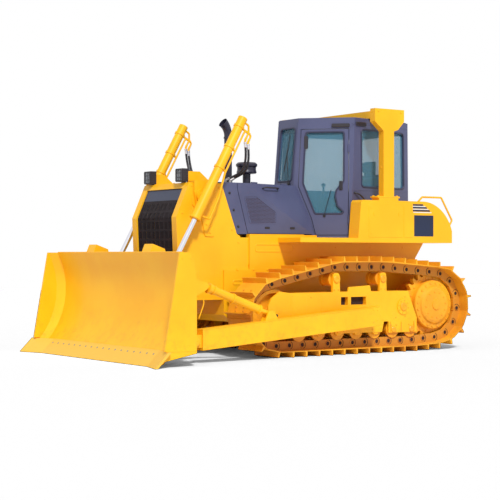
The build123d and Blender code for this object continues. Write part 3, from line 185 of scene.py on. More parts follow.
def makePaint(name, color, deep, dust, rough, coat, grime, links):
    # sprayed paint: faint drift between two colours, dust on what looks up, fine peel, grime low down; on the
    # tracks, painted shade on the chains' side faces
    s = surface(name)
    drift = s.noise(paintLook["cloud"], 4.0, 0.55)
    fine = s.noise(paintLook["fine"], 3.0, 0.6)
    lie = s.step(s.facing(2), *paintLook["dustFacing"])
    settled = (lie * s.step(s.noise(paintLook["dustPatch"], 5.0, 0.65), 0.38, 0.72) * dust).clamp()
    base = s.mix(s.step(drift, 0.35, 0.68), color, deep)
    if grime:
        height = s.axis(s.place(), 2)
        patches = s.step(s.noise(paintLook["grimePatch"], 6.0, 0.7), 0.45, 0.75)
        low = (1.0 - s.step(height, *paintLook["grimeHeights"])) * patches * grime
        base = s.mix(low.clamp(), base, paintLook["grimeColor"])
    if links:
        # painted shade: the chains' side faces, inside the shoes' ends, are tinted browner, as the upper run
        # looks in its shade
        side = s.step(s.facing(1).math("ABSOLUTE"), 0.8, 0.95)
        start = paintLook["shoeStart"]
        within = 1.0 - s.step(s.axis(s.place(), 1).math("ABSOLUTE"), start, start + 0.01)
        base = s.mix((side * within).clamp(), base, paintLook["linkShadeColor"])
    base = s.mix(settled, base, paintLook["dustColor"])
    roughness = (fine * 0.12 + settled * 0.35 + (rough - 0.06)).clamp()
    peel = s.noise(paintLook["peel"], 1.0, 0.5)
    return s.finish("BsdfPrincipled", {
        "Base Color": base,
        "Roughness": roughness,
        "Coat Weight": coat,
        "Coat Roughness": 0.12,
        "Specular IOR Level": 0.35,
        "Normal": s.bump(peel, 0.05, 0.001),
    })


def makeSteel(name, color, stainColor, share, rough, metal):
    # bare or worn metal with stains
    s = surface(name)
    stain = s.step(s.noise(7.0, 6.0, 0.7), 0.72 - 0.3 * share, 0.84)
    fine = s.noise(90.0, 4.0, 0.7)
    base = s.mix(stain * share, color, stainColor)
    return s.finish("BsdfPrincipled", {
        "Base Color": base,
        "Roughness": (stain * 0.3 * share + fine * 0.2 + (rough - 0.1)).clamp(),
        "Metallic": (1.0 - stain * (0.8 * share)) * metal,
        "Normal": s.bump(fine, 0.15, 0.001),
    })


def makePlastic(name, color, rough, grain):
    # moulded plastic or rubber with a fine grain
    s = surface(name)
    fine = s.noise(grain, 2.0, 0.6)
    return s.finish("BsdfPrincipled", {
        "Base Color": s.mix(s.noise(6.0, 3.0, 0.5), color, tuple(c * 1.5 for c in color)),
        "Roughness": (fine * 0.2 + (rough - 0.1)).clamp(),
        "Normal": s.bump(fine, 0.2, 0.001),
    })


def makeCloth(name, color, thread):
    # woven cover: two crossed sine waves make the threads, with a soft drift of colour
    s = surface(name)
    place = s.place()
    across = (s.axis(place, 1) * thread).math("SINE")
    along = ((s.axis(place, 0) + s.axis(place, 2)) * thread).math("SINE")
    weave = across * along * 0.5 + 0.5
    shade = s.mix(weave * 0.35 + s.noise(14.0, 3.0, 0.6) * 0.4, color, tuple(c * 1.9 for c in color))
    return s.finish("BsdfPrincipled", {
        "Base Color": shade,
        "Roughness": (weave * 0.1 + 0.8).clamp(),
        "Sheen Weight": 0.25,
        "Normal": s.bump(weave, 0.35, 0.0015),
    })


def makeGlass(name, tint, alpha):
    # tinted pane: mostly see-through, with a faint dusty film
    s = surface(name)
    film = s.noise(3.0, 5.0, 0.6)
    return s.finish("BsdfPrincipled", {
        "Base Color": tint,
        "Roughness": (film * 0.08 + 0.02).clamp(),
        "Alpha": (film * 0.08 + (alpha - 0.04)).clamp(),
        "IOR": 1.45,
    })


# Screen colours of each finish and its other values
paints = {  # colour, deeper colour, dust, roughness, clear coat, grime low down
    "yellowPaint": ((253, 190, 20), (250, 180, 14), 0.12, 0.46, 0.1, 0.3),
    "slatePaint": ((80, 84, 118), (73, 77, 110), 0.2, 0.42, 0.25, 0.0),
    "gearPaint": ((246, 176, 30), (236, 156, 24), 0.3, 0.5, 0.1, 0.5),
    "trackPaint": ((240, 174, 36), (222, 146, 30), 0.3, 0.55, 0.05, 0.4),
    # painted shade in part: the brown of the shaded upper run, with grime low down as well
    "linkShadedPaint": ((214, 148, 44), (172, 104, 36), 0.2, 0.55, 0.05, 0.6),
    "enginePaint": ((190, 140, 40), (150, 105, 35), 0.5, 0.5, 0.1, 0.0),
    "blackPaint": ((40, 38, 56), (32, 32, 48), 0.12, 0.4, 0.2, 0.0),
    "grillePaint": ((34, 24, 30), (30, 20, 24), 0.1, 0.6, 0.0, 0.0),
    "whitePaint": ((236, 236, 232), (220, 220, 214), 0.1, 0.4, 0.2, 0.0),
    "bandPaint": ((20, 34, 68), (16, 28, 58), 0.1, 0.35, 0.2, 0.0),
}
steels = {  # colour, stain's colour, share of stains, roughness, metallic
    "edgeSteel": ((240, 190, 70), (200, 150, 80), 0.4, 0.5, 0.1),
    "rodChrome": ((225, 225, 232), (190, 190, 195), 0.0, 0.14, 1.0),
    "plainSteel": ((150, 148, 150), (110, 84, 60), 0.5, 0.4, 0.8),
}
plastics = {  # colour, roughness, grain per metre
    # painted shade: the dark of holes, pin-end recesses, perforations and frame openings; also the dark joint
    # lines between links
    "shadeAndJointDark": ((40, 22, 20), 0.8, 90.0),
    "blackRubber": ((26, 25, 32), 0.55, 320.0),
    "sealRubber": ((40, 42, 66), 0.5, 320.0),
    "blackPlastic": ((34, 30, 36), 0.45, 220.0),
}
glasses = {  # tint, alpha
    "paneGlass": ((92, 150, 176), 0.36),
    "lensGlass": ((190, 196, 205), 0.55),
    "redGlass": ((190, 20, 20), 0.8),
}
finishes = {"seatCloth": makeCloth("seatCloth", linear(44, 46, 60), 1400.0)}
for name, (color, deep, *others) in paints.items():
    finishes[name] = makePaint(name, linear(*color), linear(*deep), *others, name == "trackPaint")
for name, (color, stain, *others) in steels.items():
    finishes[name] = makeSteel(name, linear(*color), linear(*stain), *others)
for name, (color, *others) in plastics.items():
    finishes[name] = makePlastic(name, linear(*color), *others)
for name, (tint, alpha) in glasses.items():
    finishes[name] = makeGlass(name, linear(*tint), alpha)
nodeFinish = {  # every other node is in yellowPaint
    "slatePaint": ["hood_top", "engine_cover_left", "engine_cover_right", "cab_shell", "cab_door_left",
                   "cab_door_right"],
    "gearPaint": ["sprockets", "final_drives", "idlers", "track_rollers", "carrier_rollers", "drawbar"],
    "trackPaint": ["track_left", "track_right"],
    "enginePaint": ["engine_block"],
    "blackPaint": ["exhaust_stack", "air_precleaner"],
    "grillePaint": ["grille", "radiator_core"],
    "edgeSteel": ["cutting_edge", "end_bits"],
    "rodChrome": ["lift_rod_left", "lift_rod_right"],
    "blackPlastic": ["headlamps", "seat_base", "cab_controls"],
    "seatCloth": ["seat_cushion", "seat_back"],
    "paneGlass": ["cab_glass", "door_glass_left", "door_glass_right"],
}
for name, node in nodes.items():
    finish = next((finish for finish, names in nodeFinish.items() if name in names), "yellowPaint")
    node.data.materials.clear()
    node.data.materials.append(finishes[finish])
print("stage: finishes set")

axle = -2.095  # X of the sprocket's axle in the frame, metres


def spot(points):
    # millimetres ahead of the sprocket's axle, to the left and up, as metres in the frame
    return np.asarray(points, float) / 1000.0 + np.array((axle, 0.0, 0.0))


# A shape is (points, faces), in millimetres from the sprocket's axle on the ground


def joined(shapes):
    points, faces, count = [], [], 0
    for shapePoints, shapeFaces in shapes:
        points.append(shapePoints)
        faces += [[corner + count for corner in face] for face in shapeFaces]
        count += len(shapePoints)
    return np.concatenate(points), faces


def turnedBack(shape):
    points, faces = shape
    return points, [face[::-1] for face in faces]


def flipped(shape):
    # the same shape on the machine's other side
    points, faces = turnedBack(shape)
    return points * (1.0, -1.0, 1.0), faces


def grid(rows, closedColumn=False, ends=False):
    # closed rows of equally many points joined by four-sided faces; ends closes the first and last row
    rows = np.asarray(rows, float)
    count, width = rows.shape[:2]
    faces = []
    for i in range(count if closedColumn else count - 1):
        j = (i + 1) % count
        for k in range(width):
            m = (k + 1) % width
            faces.append([i * width + k, i * width + m, j * width + m, j * width + k])
    if ends:
        faces.append(list(range(width))[::-1])
        faces.append([(count - 1) * width + k for k in range(width)])
    return rows.reshape(-1, 3), faces


def unit(vectors):
    vectors = np.asarray(vectors, float)
    return vectors / np.linalg.norm(vectors, axis=-1, keepdims=True)


def crossAxes(direction):
    # two directions square to this one and to each other
    direction = unit(direction)
    helper = (0.0, 0.0, 1.0) if abs(direction[2]) < 0.9 else (1.0, 0.0, 0.0)
    side = unit(np.cross(helper, direction))
    return side, np.cross(direction, side)


tip = 0.01  # radius that closes a turned shape


def turned(profile, origin, direction, sides):
    # a profile of (distance along the axis, radius) turned about it:
    # point = origin + axis * distance + radius * (side * cos a + up * sin a); a closed profile makes a ring
    side, up = crossAxes(direction)
    angles = np.linspace(0, 2 * math.pi, sides, endpoint=False)
    ring = np.outer(np.cos(angles), side) + np.outer(np.sin(angles), up)
    along = unit(direction)
    rows = [np.asarray(origin, float) + along * distance + ring * radius for distance, radius in profile]
    if profile[0] == profile[-1]:
        return grid(rows[:-1], closedColumn=True)
    return grid(rows, ends=True)


def curve(points, steps):
    # a curve through the points: on each piece four neighbours blend with cubic weights
    points = np.asarray(points, float)
    padded = np.vstack([2 * points[0] - points[1], points, 2 * points[-1] - points[-2]])
    out = []
    for i in range(len(points) - 1):
        a, b, c, d = padded[i:i + 4]
        for t in np.arange(steps) / steps:
            out.append(0.5 * (2 * b + (c - a) * t + (2 * a - 5 * b + 4 * c - d) * t**2
                              + (3 * b - a - 3 * c + d) * t**3))
    out.append(points[-1])
    return np.array(out)


def tube(path, radius, sides):
    # circles along a path: point = path + radius * (side * cos a + up * sin a), side carried along
    path = np.asarray(path, float)
    tangents = unit(np.gradient(path, axis=0))
    side, up = crossAxes(tangents[0])
    angles = np.linspace(0, 2 * math.pi, sides, endpoint=False)
    rows = []
    for point, tangent in zip(path, tangents):
        side = unit(side - tangent * np.dot(side, tangent))
        up = np.cross(tangent, side)
        rows.append(point + radius * (np.outer(np.cos(angles), side) + np.outer(np.sin(angles), up)))
    return grid(rows, ends=True)


def softened(corners, radius, steps=6):
    # a closed outline with each corner turned into an arc of short chords
    corners = np.asarray(corners, float)
    out = []
    for before, corner, after in zip(np.roll(corners, 1, 0), corners, np.roll(corners, -1, 0)):
        toBefore, toAfter = unit(before - corner), unit(after - corner)
        half = math.acos(np.clip(np.dot(toBefore, toAfter), -1, 1)) / 2
        room = 0.45 * min(np.linalg.norm(before - corner), np.linalg.norm(after - corner))
        cut = min(radius / math.tan(half), room)
        start, end = corner + toBefore * cut, corner + toAfter * cut
        for t in np.linspace(0, 1, steps + 1):
            out.append((1 - t) ** 2 * start + 2 * t * (1 - t) * corner + t**2 * end)
    return np.array(out)


def rectangle(left, right, low, high):
    return [(left, low), (right, low), (right, high), (left, high)]


def rounded(left, right, low, high, radius):
    return softened(rectangle(left, right, low, high), radius)


def outlineNormals(outline):
    # outward directions at a closed outline's points, for one that runs anticlockwise
    ahead = unit(np.roll(outline, -1, 0) - outline)
    behind = unit(outline - np.roll(outline, 1, 0))
    normal = unit(np.stack([ahead[:, 1] + behind[:, 1], -ahead[:, 0] - behind[:, 0]], 1))
    return normal / np.clip(np.sum(normal * np.stack([ahead[:, 1], -ahead[:, 0]], 1), 1), 0.4, 1.0)[:, None]


def anticlockwise(outline):
    outline = np.asarray(outline, float)
    after = np.roll(outline, -1, 0)
    area = np.sum(outline[:, 0] * after[:, 1] - after[:, 0] * outline[:, 1])
    return outline if area > 0 else outline[::-1]


class Face:
    # a flat place on the machine: origin, two directions along it and the one out of it
    def __init__(self, origin, along, up):
        self.origin = np.asarray(origin, float)
        self.along = unit(along)
        self.out = unit(np.cross(self.along, up))
        self.up = np.cross(self.out, self.along)

    def at(self, flat, height=0.0):
        flat = np.atleast_2d(np.asarray(flat, float))
        height = np.broadcast_to(height, len(flat))[:, None]
        return self.origin + flat[:, :1] * self.along + flat[:, 1:] * self.up + height * self.out

    def plate(self, outline, thick, bevel, base=0.0):
        # an outline raised off the face, its upper edge cut back by the bevel
        outline = anticlockwise(outline)
        inner = outline - outlineNormals(outline) * bevel
        rows = [self.at(outline, base), self.at(outline, base + thick - bevel), self.at(inner, base + thick)]
        return grid(rows, ends=True)

    def pad(self, left, right, low, high, radius, thick, bevel, base=0.0):
        return self.plate(rounded(left, right, low, high, radius), thick, bevel, base)

    def band(self, outline, profile):
        # a profile of (distance outward, height) carried round a closed outline, as a gasket or rim
        outline = anticlockwise(outline)
        normals = outlineNormals(outline)
        rows = [self.at(outline + normals * reach, height) for reach, height in profile]
        return grid(rows, closedColumn=True)

    def knob(self, profile, place, sides):
        # a turned profile that stands on the face, closed at its end
        return turned([*profile, (profile[-1][0], tip)], self.at(place)[0], self.out, sides)

    def bolts(self, places, size):
        head = [(0.16, 1.15), (0.2, 0.9), (0.62, 0.9), (0.72, 0.78)]
        head = [(-1.0, size * 1.15)] + [(size * distance, size * radius) for distance, radius in head]
        return joined([self.knob(head, place, 12) for place in places])

    def bar(self, flatPath, height, radius, sides=8):
        # a round bar along a path, at one height over the face or at one for each point
        return tube(self.at(flatPath, height), radius, sides)


def level(height):
    return Face((0, 0, height), (1, 0, 0), (0, 1, 0))


class SidePlane(Face):
    # an upright face on the machine's left that looks outward; X runs forward in its outlines
    def __init__(self, y):
        super().__init__((0, y, 0), (-1, 0, 0), (0, 0, 1))

    def at(self, flat, height=0.0):
        return super().at(np.atleast_2d(flat) * (-1.0, 1.0), height)

    def plate(self, *values):
        return turnedBack(super().plate(*values))

    def band(self, *values):
        return turnedBack(super().band(*values))


def box(low, high, bevel):
    # a block with every edge of its upper and lower outlines cut back
    curved = softened(rectangle(low[0], high[0], low[1], high[1]), bevel, 2)
    inner = curved - outlineNormals(curved) * bevel * 0.7
    levels = ((inner, low[2]), (curved, low[2] + bevel), (curved, high[2] - bevel), (inner, high[2]))
    return grid([np.column_stack([outline, np.full(len(outline), z)]) for outline, z in levels], ends=True)


def addPiece(name, shapes, finish, body="chassis", smooth=True):
    # one finished object at the origin, riding on its body if it has one; edges over 35 degrees stay sharp
    points, faces = joined(shapes)
    mesh = bpy.data.meshes.new(name)
    mesh.from_pydata(spot(points).tolist(), [], faces)
    mesh.validate()
    mesh.update()
    if smooth:
        mesh.shade_smooth()
        mesh.set_sharp_from_angle(angle=math.radians(35))
    mesh.materials.append(finishes[finish])
    piece = bpy.data.objects.new(name, mesh)
    scene.collection.objects.link(piece)
    if body:
        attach(piece, body)
    return piece


def addBoth(name, shapes, finish, body="chassis"):
    addPiece(name, [*shapes, *map(flipped, shapes)], finish, body)


def addPair(name, shapes, finish, body, smooth=True):
    # the left piece on its body and the mirrored one on the other body
    addPiece(name + "_left", shapes, finish, body + "_left", smooth)
    addPiece(name + "_right", map(flipped, shapes), finish, body + "_right", smooth)


# Chain details: pin ends, joints between the links and shoe bolts
chain = {
    "wheels": [(0, 603, 440.5), (430, 140, 0.0), (2290, 140, 0.0), (2675, 525, 385.0), (1710, 965, 155.0),
               (925, 965, 155.0)],  # ahead of the axle, up, radius of the pins' path
    "count": 39,
    "middle": 940.0,  # of the track, from the machine's middle
    "railFace": 1042.0,
    "bossRadius": 40.0,
    "holeRadius": 25.0,
    "jointRadius": 52.0,
    "jointThick": 3.6,
    "shoeOut": 75.0,  # outer face of the shoes, from the pins
    "boltsAlong": (78, 128),
    "boltsAcross": (-81, 81),
    "boltRadius": 13,
}


def chainPins():
    # even steps along the arcs round the wheels and the tangents between them, from straight below
    wheels = chain["wheels"]
    turns = []
    for (x0, z0, r0), (x1, z1, r1) in zip(wheels, wheels[1:] + wheels[:1]):
        turns.append(math.atan2(z1 - z0, x1 - x0) - math.acos((r0 - r1) / math.hypot(x1 - x0, z1 - z0)))
    path = []
    for (x, z, r), start, end in zip(wheels, turns[-1:] + turns[:-1], turns):
        angles = start + np.linspace(0, (end - start) % (2 * math.pi), 400)
        path.append(np.stack([x + r * np.cos(angles), z + r * np.sin(angles)], 1))
    path = np.concatenate(path)
    low = np.argmin(np.hypot(path[:, 0] - wheels[0][0], path[:, 1] - (wheels[0][1] - wheels[0][2])))
    path = np.roll(path, -low, axis=0)
    path = np.vstack([path, path[:1]])
    run = np.concatenate([[0], np.cumsum(np.hypot(*np.diff(path, axis=0).T))])
    goals = run[-1] * np.arange(chain["count"]) / chain["count"]
    return np.stack([np.interp(goals, run, path[:, 0]), np.interp(goals, run, path[:, 1])], 1)


def dressChain():
    pins = chainPins()
    along = unit(np.roll(pins, -1, 0) - pins)
    out = np.stack([along[:, 1], -along[:, 0]], 1)
    face = SidePlane(chain["railFace"])
    ring, hole, bolt = chain["bossRadius"], chain["holeRadius"], chain["boltRadius"]
    boss = [(-1, ring), (3, ring), (6, ring - 3), (6, hole + 2), (1, hole)]
    dark = [(0, hole), (1.8, hole)]
    head = [(-1, bolt), (7, bolt), (9, bolt - 2), (9, tip)]
    sweep = np.radians(np.linspace(-62, 68, 14))
    joints, bolts = [], []
    for pin, ahead, outward in zip(pins, along, out):
        arc = pin - chain["jointRadius"] * (np.outer(np.cos(sweep), ahead) - np.outer(np.sin(sweep), outward))
        joints.append(face.bar(arc, 0.0, chain["jointThick"], 6))
        normal = np.array((outward[0], 0, outward[1]))
        for step in chain["boltsAlong"]:
            centre = pin + ahead * step + outward * chain["shoeOut"]
            for across in chain["boltsAcross"]:
                bolts.append(turned(head, (centre[0], chain["middle"] + across, centre[1]), normal, 6))
    # painted shade: dark discs on the bosses stand for the shaded recesses at the pins' ends
    holes = [face.knob(dark, pin, 16) for pin in pins]
    # painted shade in part: link bosses and shoe bolts in the brown of the shaded upper run
    addBoth("linkBosses", [face.knob(boss, pin, 20) for pin in pins], "linkShadedPaint")
    addBoth("linkHoles", holes + joints, "shadeAndJointDark")
    addBoth("shoeBolts", bolts, "linkShadedPaint")


# Bolts, caps and plates of the undercarriage; faces are distances from the machine's middle
gear = {
    "axle": (0, 603),
    "boltRings": [(975, 365, 18, 0.0, 15), (1064, 290, 20, 0.1, 13), (1105, 176, 12, 0.4, 12)],
    # face, radius, count, turn in radians, bolt size
    "cover": (575, 590),
    "coverFace": 1102,
    "idler": (2675, 525),
    "idlerFace": 1114,
    "beamFace": 1090,
    "guardFace": 1104,
    "carriers": ((925, 965), (1710, 965)),
    "rollers": [(x, 290) for x in (430, 740, 1980, 2290)],  # the ones clear of the guard
    "ribs": (385, 610, 800),
    "frameBolts": [(540, 720), (540, 460), (700, 450), (2120, 470), (2120, 740), (2420, 760)],
    "guardBolts": [(1060, 380), (1200, 380), (1500, 380), (1660, 380), (1120, 300), (1600, 300)],
    "plates": [([(2190, 520), (2440, 500), (2440, 770), (2190, 770)], 18, 5),
               ([(1700, 560), (1960, 545), (1960, 770), (1700, 770)], 14, 4)],  # outline, corner, thickness
    "windows": ((1219, 1467), (1521, 1632)),
}


def ringPlaces(x, z, radius, count, turn):
    angles = turn + 2 * math.pi * np.arange(count) / count
    return np.stack([x + radius * np.cos(angles), z + radius * np.sin(angles)], 1)


def dressUndercarriage():
    beam, guard = SidePlane(gear["beamFace"]), SidePlane(gear["guardFace"])
    cover, idler = SidePlane(gear["coverFace"]), SidePlane(gear["idlerFace"])
    shapes = [SidePlane(face).bolts(ringPlaces(*gear["axle"], radius, count, turn), size)
              for face, radius, count, turn, size in gear["boltRings"]]
    shapes += [
        cover.bolts(ringPlaces(*gear["cover"], 84, 8, 0.2), 8),
        cover.knob([(0, 58), (8, 58), (14, 50), (14, 28), (9, 24)], gear["cover"], 32),
        idler.bolts(ringPlaces(*gear["idler"], 40, 4, 0.8), 8),
        beam.bolts(gear["frameBolts"], 9),
        guard.bolts(gear["guardBolts"], 10),
    ]
    for x, z in gear["carriers"]:
        ring = [(-10, 97), (4, 97), (8, 93), (8, 80), (-2, 76), (-2, 40)]
        shapes += [
            beam.knob([(-2, 50), (10, 50), (17, 42), (17, 24), (12, 20)], (x, z), 28),
            beam.bolts([(x - 34, z - 135), (x + 34, z - 135)], 10),
            turned(ring, (x, 1045, z), beam.out, 32),
        ]
    for x, z in gear["rollers"]:
        shapes += [beam.knob([(-3, 42), (7, 42), (12, 36), (12, 16), (9, 13)], (x, z), 24),
                   beam.bolts([(x - 44, z + 60), (x + 44, z + 60)], 9)]
    shapes += [beam.plate(rectangle(x - 5, x + 5, 262, 392), 9, 2) for x in gear["ribs"]]
    addBoth("undercarriageTrim", shapes, "gearPaint")
    plates = [beam.plate(softened(outline, corner), thick, 3) for outline, corner, thick in gear["plates"]]
    addBoth("framePlates", plates, "yellowPaint")
    # painted shade: dark plates on the idler's hub and in the frame's openings
    dark = [idler.plate(softened([(2660, 505), (2700, 515), (2690, 545), (2655, 535)], 8), 3, 1)]
    dark += [SidePlane(1030).plate(rectangle(low, high, 632, 732), 2, 1) for low, high in gear["windows"]]
    addBoth("undercarriageShadows", dark, "shadeAndJointDark")
    print("stage: undercarriage dressed")


dressChain()
dressUndercarriage()

# The cab's leaning walls, as in the part; places on one are from its front lower corner
cab = {
    "floor": 1500.0,
    "leanHeight": 3060.0,
    "top": 3100.0,
    "low": [(1812, -211), (1812, 211), (1234, 800), (10, 555.2)],
    "high": [(1670, -227), (1670, 227), (1142, 765), (10, 538.6)],
    "doorWindow": [(722, 1415), (214, 1415), (182, 740), (345, 330), (700, 330), (722, 352), (640, 428),
                   (610, 562), (623, 642), (722, 762)],
    "latchPanel": [(735, 790), (700, 748), (628, 650), (604, 562), (634, 424), (735, 335)],
    "sideWindow": (238, 1150, 690, 1450),
    "rearWindow": (90, 1010, 690, 1450),
    "frontWindow": [(50, 775), (376, 775), (384, 1485), (58, 1485)],
    "windowCorner": 50,
    "gasket": [(15, -2), (15, 5), (11, 9), (-2, 9), (-7, 4), (-7, -2)],  # outward and height, round a window
    "rail": [(86, 603), (150, 575), (214, 500), (226, 350), (214, 200), (150, 135), (86, 109)],
    "railFeet": ((88, 603), (88, 109)),
    "railReach": 62,
    "wiperArm": [(330, 735, 14), (318, 900, 30), (262, 1180, 26)],  # the third is the height over the pane
    "wiperBlade": [(210, 900), (236, 1050), (266, 1200), (290, 1390)],
    "doorArm": [(470, 300, 20), (500, 420, 32), (560, 640, 28)],
    "roof": [(1666, -224), (1666, 224), (1140, 760), (14, 536), (14, -536), (1140, -760)],
    "roofEdge": [(-2, -4), (-2, 5), (-6, 9), (-36, 9), (-40, 5), (-40, -4)],
    "roofRibs": (120, 240, 360, 480, 900, 1020, 1140, 1260),
}


def wallFace(k):
    low, floor = cab["low"][k], cab["floor"]
    ahead = cab["low"][k + 1] if k < 3 else (low[0], -low[1])
    origin = np.array((*low, floor))
    return Face(origin, (*ahead, floor) - origin, (*cab["high"][k], cab["leanHeight"]) - origin)


def dressCab():
    front, door, side, rear = (wallFace(k) for k in range(4))
    corner, gasket = cab["windowCorner"], cab["gasket"]
    addPair("doorGasket", [door.band(softened(cab["doorWindow"], 32), gasket)], "sealRubber", "cab_door")
    addBoth("sideGaskets", [side.band(rounded(*cab["sideWindow"], corner), gasket)], "sealRubber")
    ends = [front.band(softened(cab["frontWindow"], corner), gasket),
            rear.band(rounded(*cab["rearWindow"], corner), gasket)]
    addPiece("endGaskets", ends, "sealRubber")
    addPair("latchPanel", [door.plate(softened(cab["latchPanel"], 14), 30, 3, -31)], "slatePaint", "cab_door")
    latch = [
        door.pad(664, 712, 640, 762, 12, 12, 4),
        door.bar(curve([(688, 660), (690, 700), (684, 752)], 6), 24.0, 7.0),
        door.pad(190, 243, 1196, 1371, 20, 13, 5, base=-2),
    ]
    addPair("doorHandles", latch, "blackPlastic", "cab_door")
    path = curve(cab["rail"], 8)
    height = 6 + cab["railReach"] * np.sin(np.linspace(0, math.pi, len(path))) ** 0.7
    feet = [side.pad(u - 22, u + 22, v - 16, v + 16, 6, 7, 2) for u, v in cab["railFeet"]]
    addBoth("grabRails", [side.bar(path, height, 11.0, 10), *feet], "blackPlastic")
    arm = curve(cab["wiperArm"], 8)
    wipers = [
        front.bar(arm[:, :2], arm[:, 2], 6.0, 8),
        front.bar(cab["wiperBlade"], 14.0, 7.0, 6),
        front.knob([(-2, 22), (16, 22), (22, 15)], cab["wiperArm"][0][:2], 20),
    ]
    addPiece("windscreenWiper", wipers, "blackRubber")
    arm = curve(cab["doorArm"], 8)
    wipers = [door.bar(arm[:, :2], arm[:, 2], 5.0, 8),
              door.knob([(-2, 18), (14, 18), (18, 12)], cab["doorArm"][0][:2], 16)]
    addPair("doorWiper", wipers, "blackRubber", "cab_door")
    roof = level(cab["top"])
    ribs = [roof.pad(x, x + 40, -420, 420, 16, 7, 4) for x in cab["roofRibs"]]
    addPiece("roofTrim", [roof.band(softened(cab["roof"], 60), cab["roofEdge"]), *ribs], "slatePaint")
    seams = [face.bar(ends, 0.0, 3.0) for face, *ends in (
        (front, (12, 120), (12, 1560)), (front, (410, 120), (418, 1560)),
        (side, (30, 640), (1215, 640)), (side, (30, 1520), (1215, 1520)))]
    addBoth("cabSeams", seams, "slatePaint")
    # black bars under the roof's edge: painted shade under the roof, together with the door's top hinge and
    # gutter there
    shadeBarShapes = [door.pad(560, 800, 1480, 1528, 14, 24, 5), side.pad(120, 330, 1500, 1552, 14, 18, 5)]
    addBoth("roofShadeBars", shadeBarShapes, "blackPlastic")
    print("stage: cab dressed")


hood = {
    "sideFace": 500,
    "latches": (2380, 1975),
    "bolts": [(2969, 2065), (2835, 1640), (2905, 1850)],
    "handle": [(335, -70), (350, -70), (480, -70), (610, -70), (625, -70)],  # on the slanted upper facet
    "panel": [(2235, 1685), (2655, 1685), (2745, 2035), (2560, 2035), (2235, 1830)],
    "panelRim": [(5, -1), (5, 2), (2, 4), (-2, 4), (-5, 2), (-5, -1)],
    "dotRows": (1700, 2020, 17.0),
    "dotColumns": (2255, 2740, 20.0),
    "dotRadius": 6.2,
    "top": 2199,
    "stack": 2655,
    "clamps": (2240, 2800),
    "cleaner": 2359,
    "bowl": [(0, 110), (4, 128), (20, 135), (48, 126), (58, 104), (72, 104), (84, 124), (88, 132), (94, 128)],
}


def dressHood():
    cover = SidePlane(hood["sideFace"])
    latches = [cover.pad(x - 38, x + 38, 1615, 1643, 8, 7, 3) for x in hood["latches"]]
    addPair("coverLatches", latches, "blackPlastic", "engine_cover")
    facet = Face((2750, 500, 2200), (-1001, -244, 0), (900, 0, 526))
    path = curve(hood["handle"], 8)
    height = np.interp(np.linspace(0, 1, len(path)), [0, 0.12, 0.3, 0.7, 0.88, 1], [0, 26, 44, 44, 26, 0])
    addPair("coverHandle", [facet.bar(path, height, 9.0, 10)], "blackPlastic", "engine_cover")
    # painted shade: each perforation is a dark disc that stands for the shade inside its hole
    dots = []
    radius = hood["dotRadius"]
    first, last, step = hood["dotColumns"]
    for row, z in enumerate(np.arange(*hood["dotRows"])):
        for x in np.arange(first + 10 * (row % 2), last, step):
            # inside the panel's slanted front edge and below its upper one
            if x < 2640 + (z - 1700) * 0.28 and z < 1674 + (x - 1850) * 0.5844 - 60:
                dots.append(cover.knob([(0.0, radius), (1.0, radius - 0.2)], (x, z), 8))
    addPair("coverPerforation", dots, "shadeAndJointDark", "engine_cover", smooth=False)
    rim = cover.band(softened(hood["panel"], 26), hood["panelRim"])
    addPair("coverPanel", [rim], "slatePaint", "engine_cover")
    addBoth("hoodBolts", [cover.bolts(hood["bolts"], 15)], "blackPlastic")
    top, up = hood["top"], (0, 0, 1)
    clamp = [(0, 52), (2, 58), (26, 58), (28, 52)]
    stack = [turned(clamp, (hood["stack"], 0, z), up, 32) for z in hood["clamps"]]
    stack.append(turned([(0, 88), (0, 92), (14, 92), (18, 60), (18, 50)], (hood["stack"], 0, top), up, 32))
    stack.append(turned(hood["bowl"], (hood["cleaner"], 0, 2352), up, 36))
    stack.append(turned([(0, 74), (0, 80), (16, 80), (20, 60), (20, 51)], (hood["cleaner"], 0, top), up, 32))
    addPiece("stackTrim", stack, "blackPaint")
    print("stage: hood dressed")


dressCab()
dressHood()

# The radiator guard's front bends back; its grille lies behind it by the setback
guard = {
    "top": (3600, 2180),
    "bend": (3790, 1750),
    "low": (3771, 1304),
    "setback": 20,
    "meshHeights": (870.0, 1958.0),
    "meshStep": (12.0, 13.0),  # across and up
    "wire": 1.8,
    "bandHeights": (1962, 2108),
    "lamp": (3650, 384, 2192),
    "side": 540,
    "bracket": [(3225, 2140), (3560, 2140), (3560, 1900), (3440, 1800), (3400, 1640), (3372, 1510),
                (3235, 1505)],
    "bracketBolts": [(3292, 1650), (3352, 1665), (3300, 1560), (3262, 1800), (3262, 2080)],
    "sideBolts": [(3700, 1800), (3690, 1500), (3680, 1200), (3560, 2140), (3160, 2120), (2960, 1600),
                  (2860, 1440)],
    "topBolts": [(3200, 500), (3200, 250), (3580, 500), (3580, 150), (3360, 500)],
    "lowPlate": [(3460, 760), (3700, 760), (3720, 1080), (3460, 1080)],
}
hull = {
    "side": 560,
    "rim": [(7, -1), (7, 3), (4, 6), (-4, 6), (-7, 3), (-7, -1)],
    "slots": [(2010, 2610, 1322, 1412, 36), (2460, 2955, 905, 955, 24)],
    "bolts": [(2890, 1090), (2640, 1090), (2420, 1090), (2900, 700), (2650, 700), (-60, 1150), (-200, 900),
              (-200, 700), (120, 1380), (700, 1380), (1300, 1380)],
}


def frontLine(z):
    # X of the guard's bent front at this height
    bend = guard["bend"]
    lower, upper = (bend, guard["top"]) if z > bend[1] else (guard["low"], bend)
    return lower[0] + (upper[0] - lower[0]) * (z - lower[1]) / (upper[1] - lower[1])


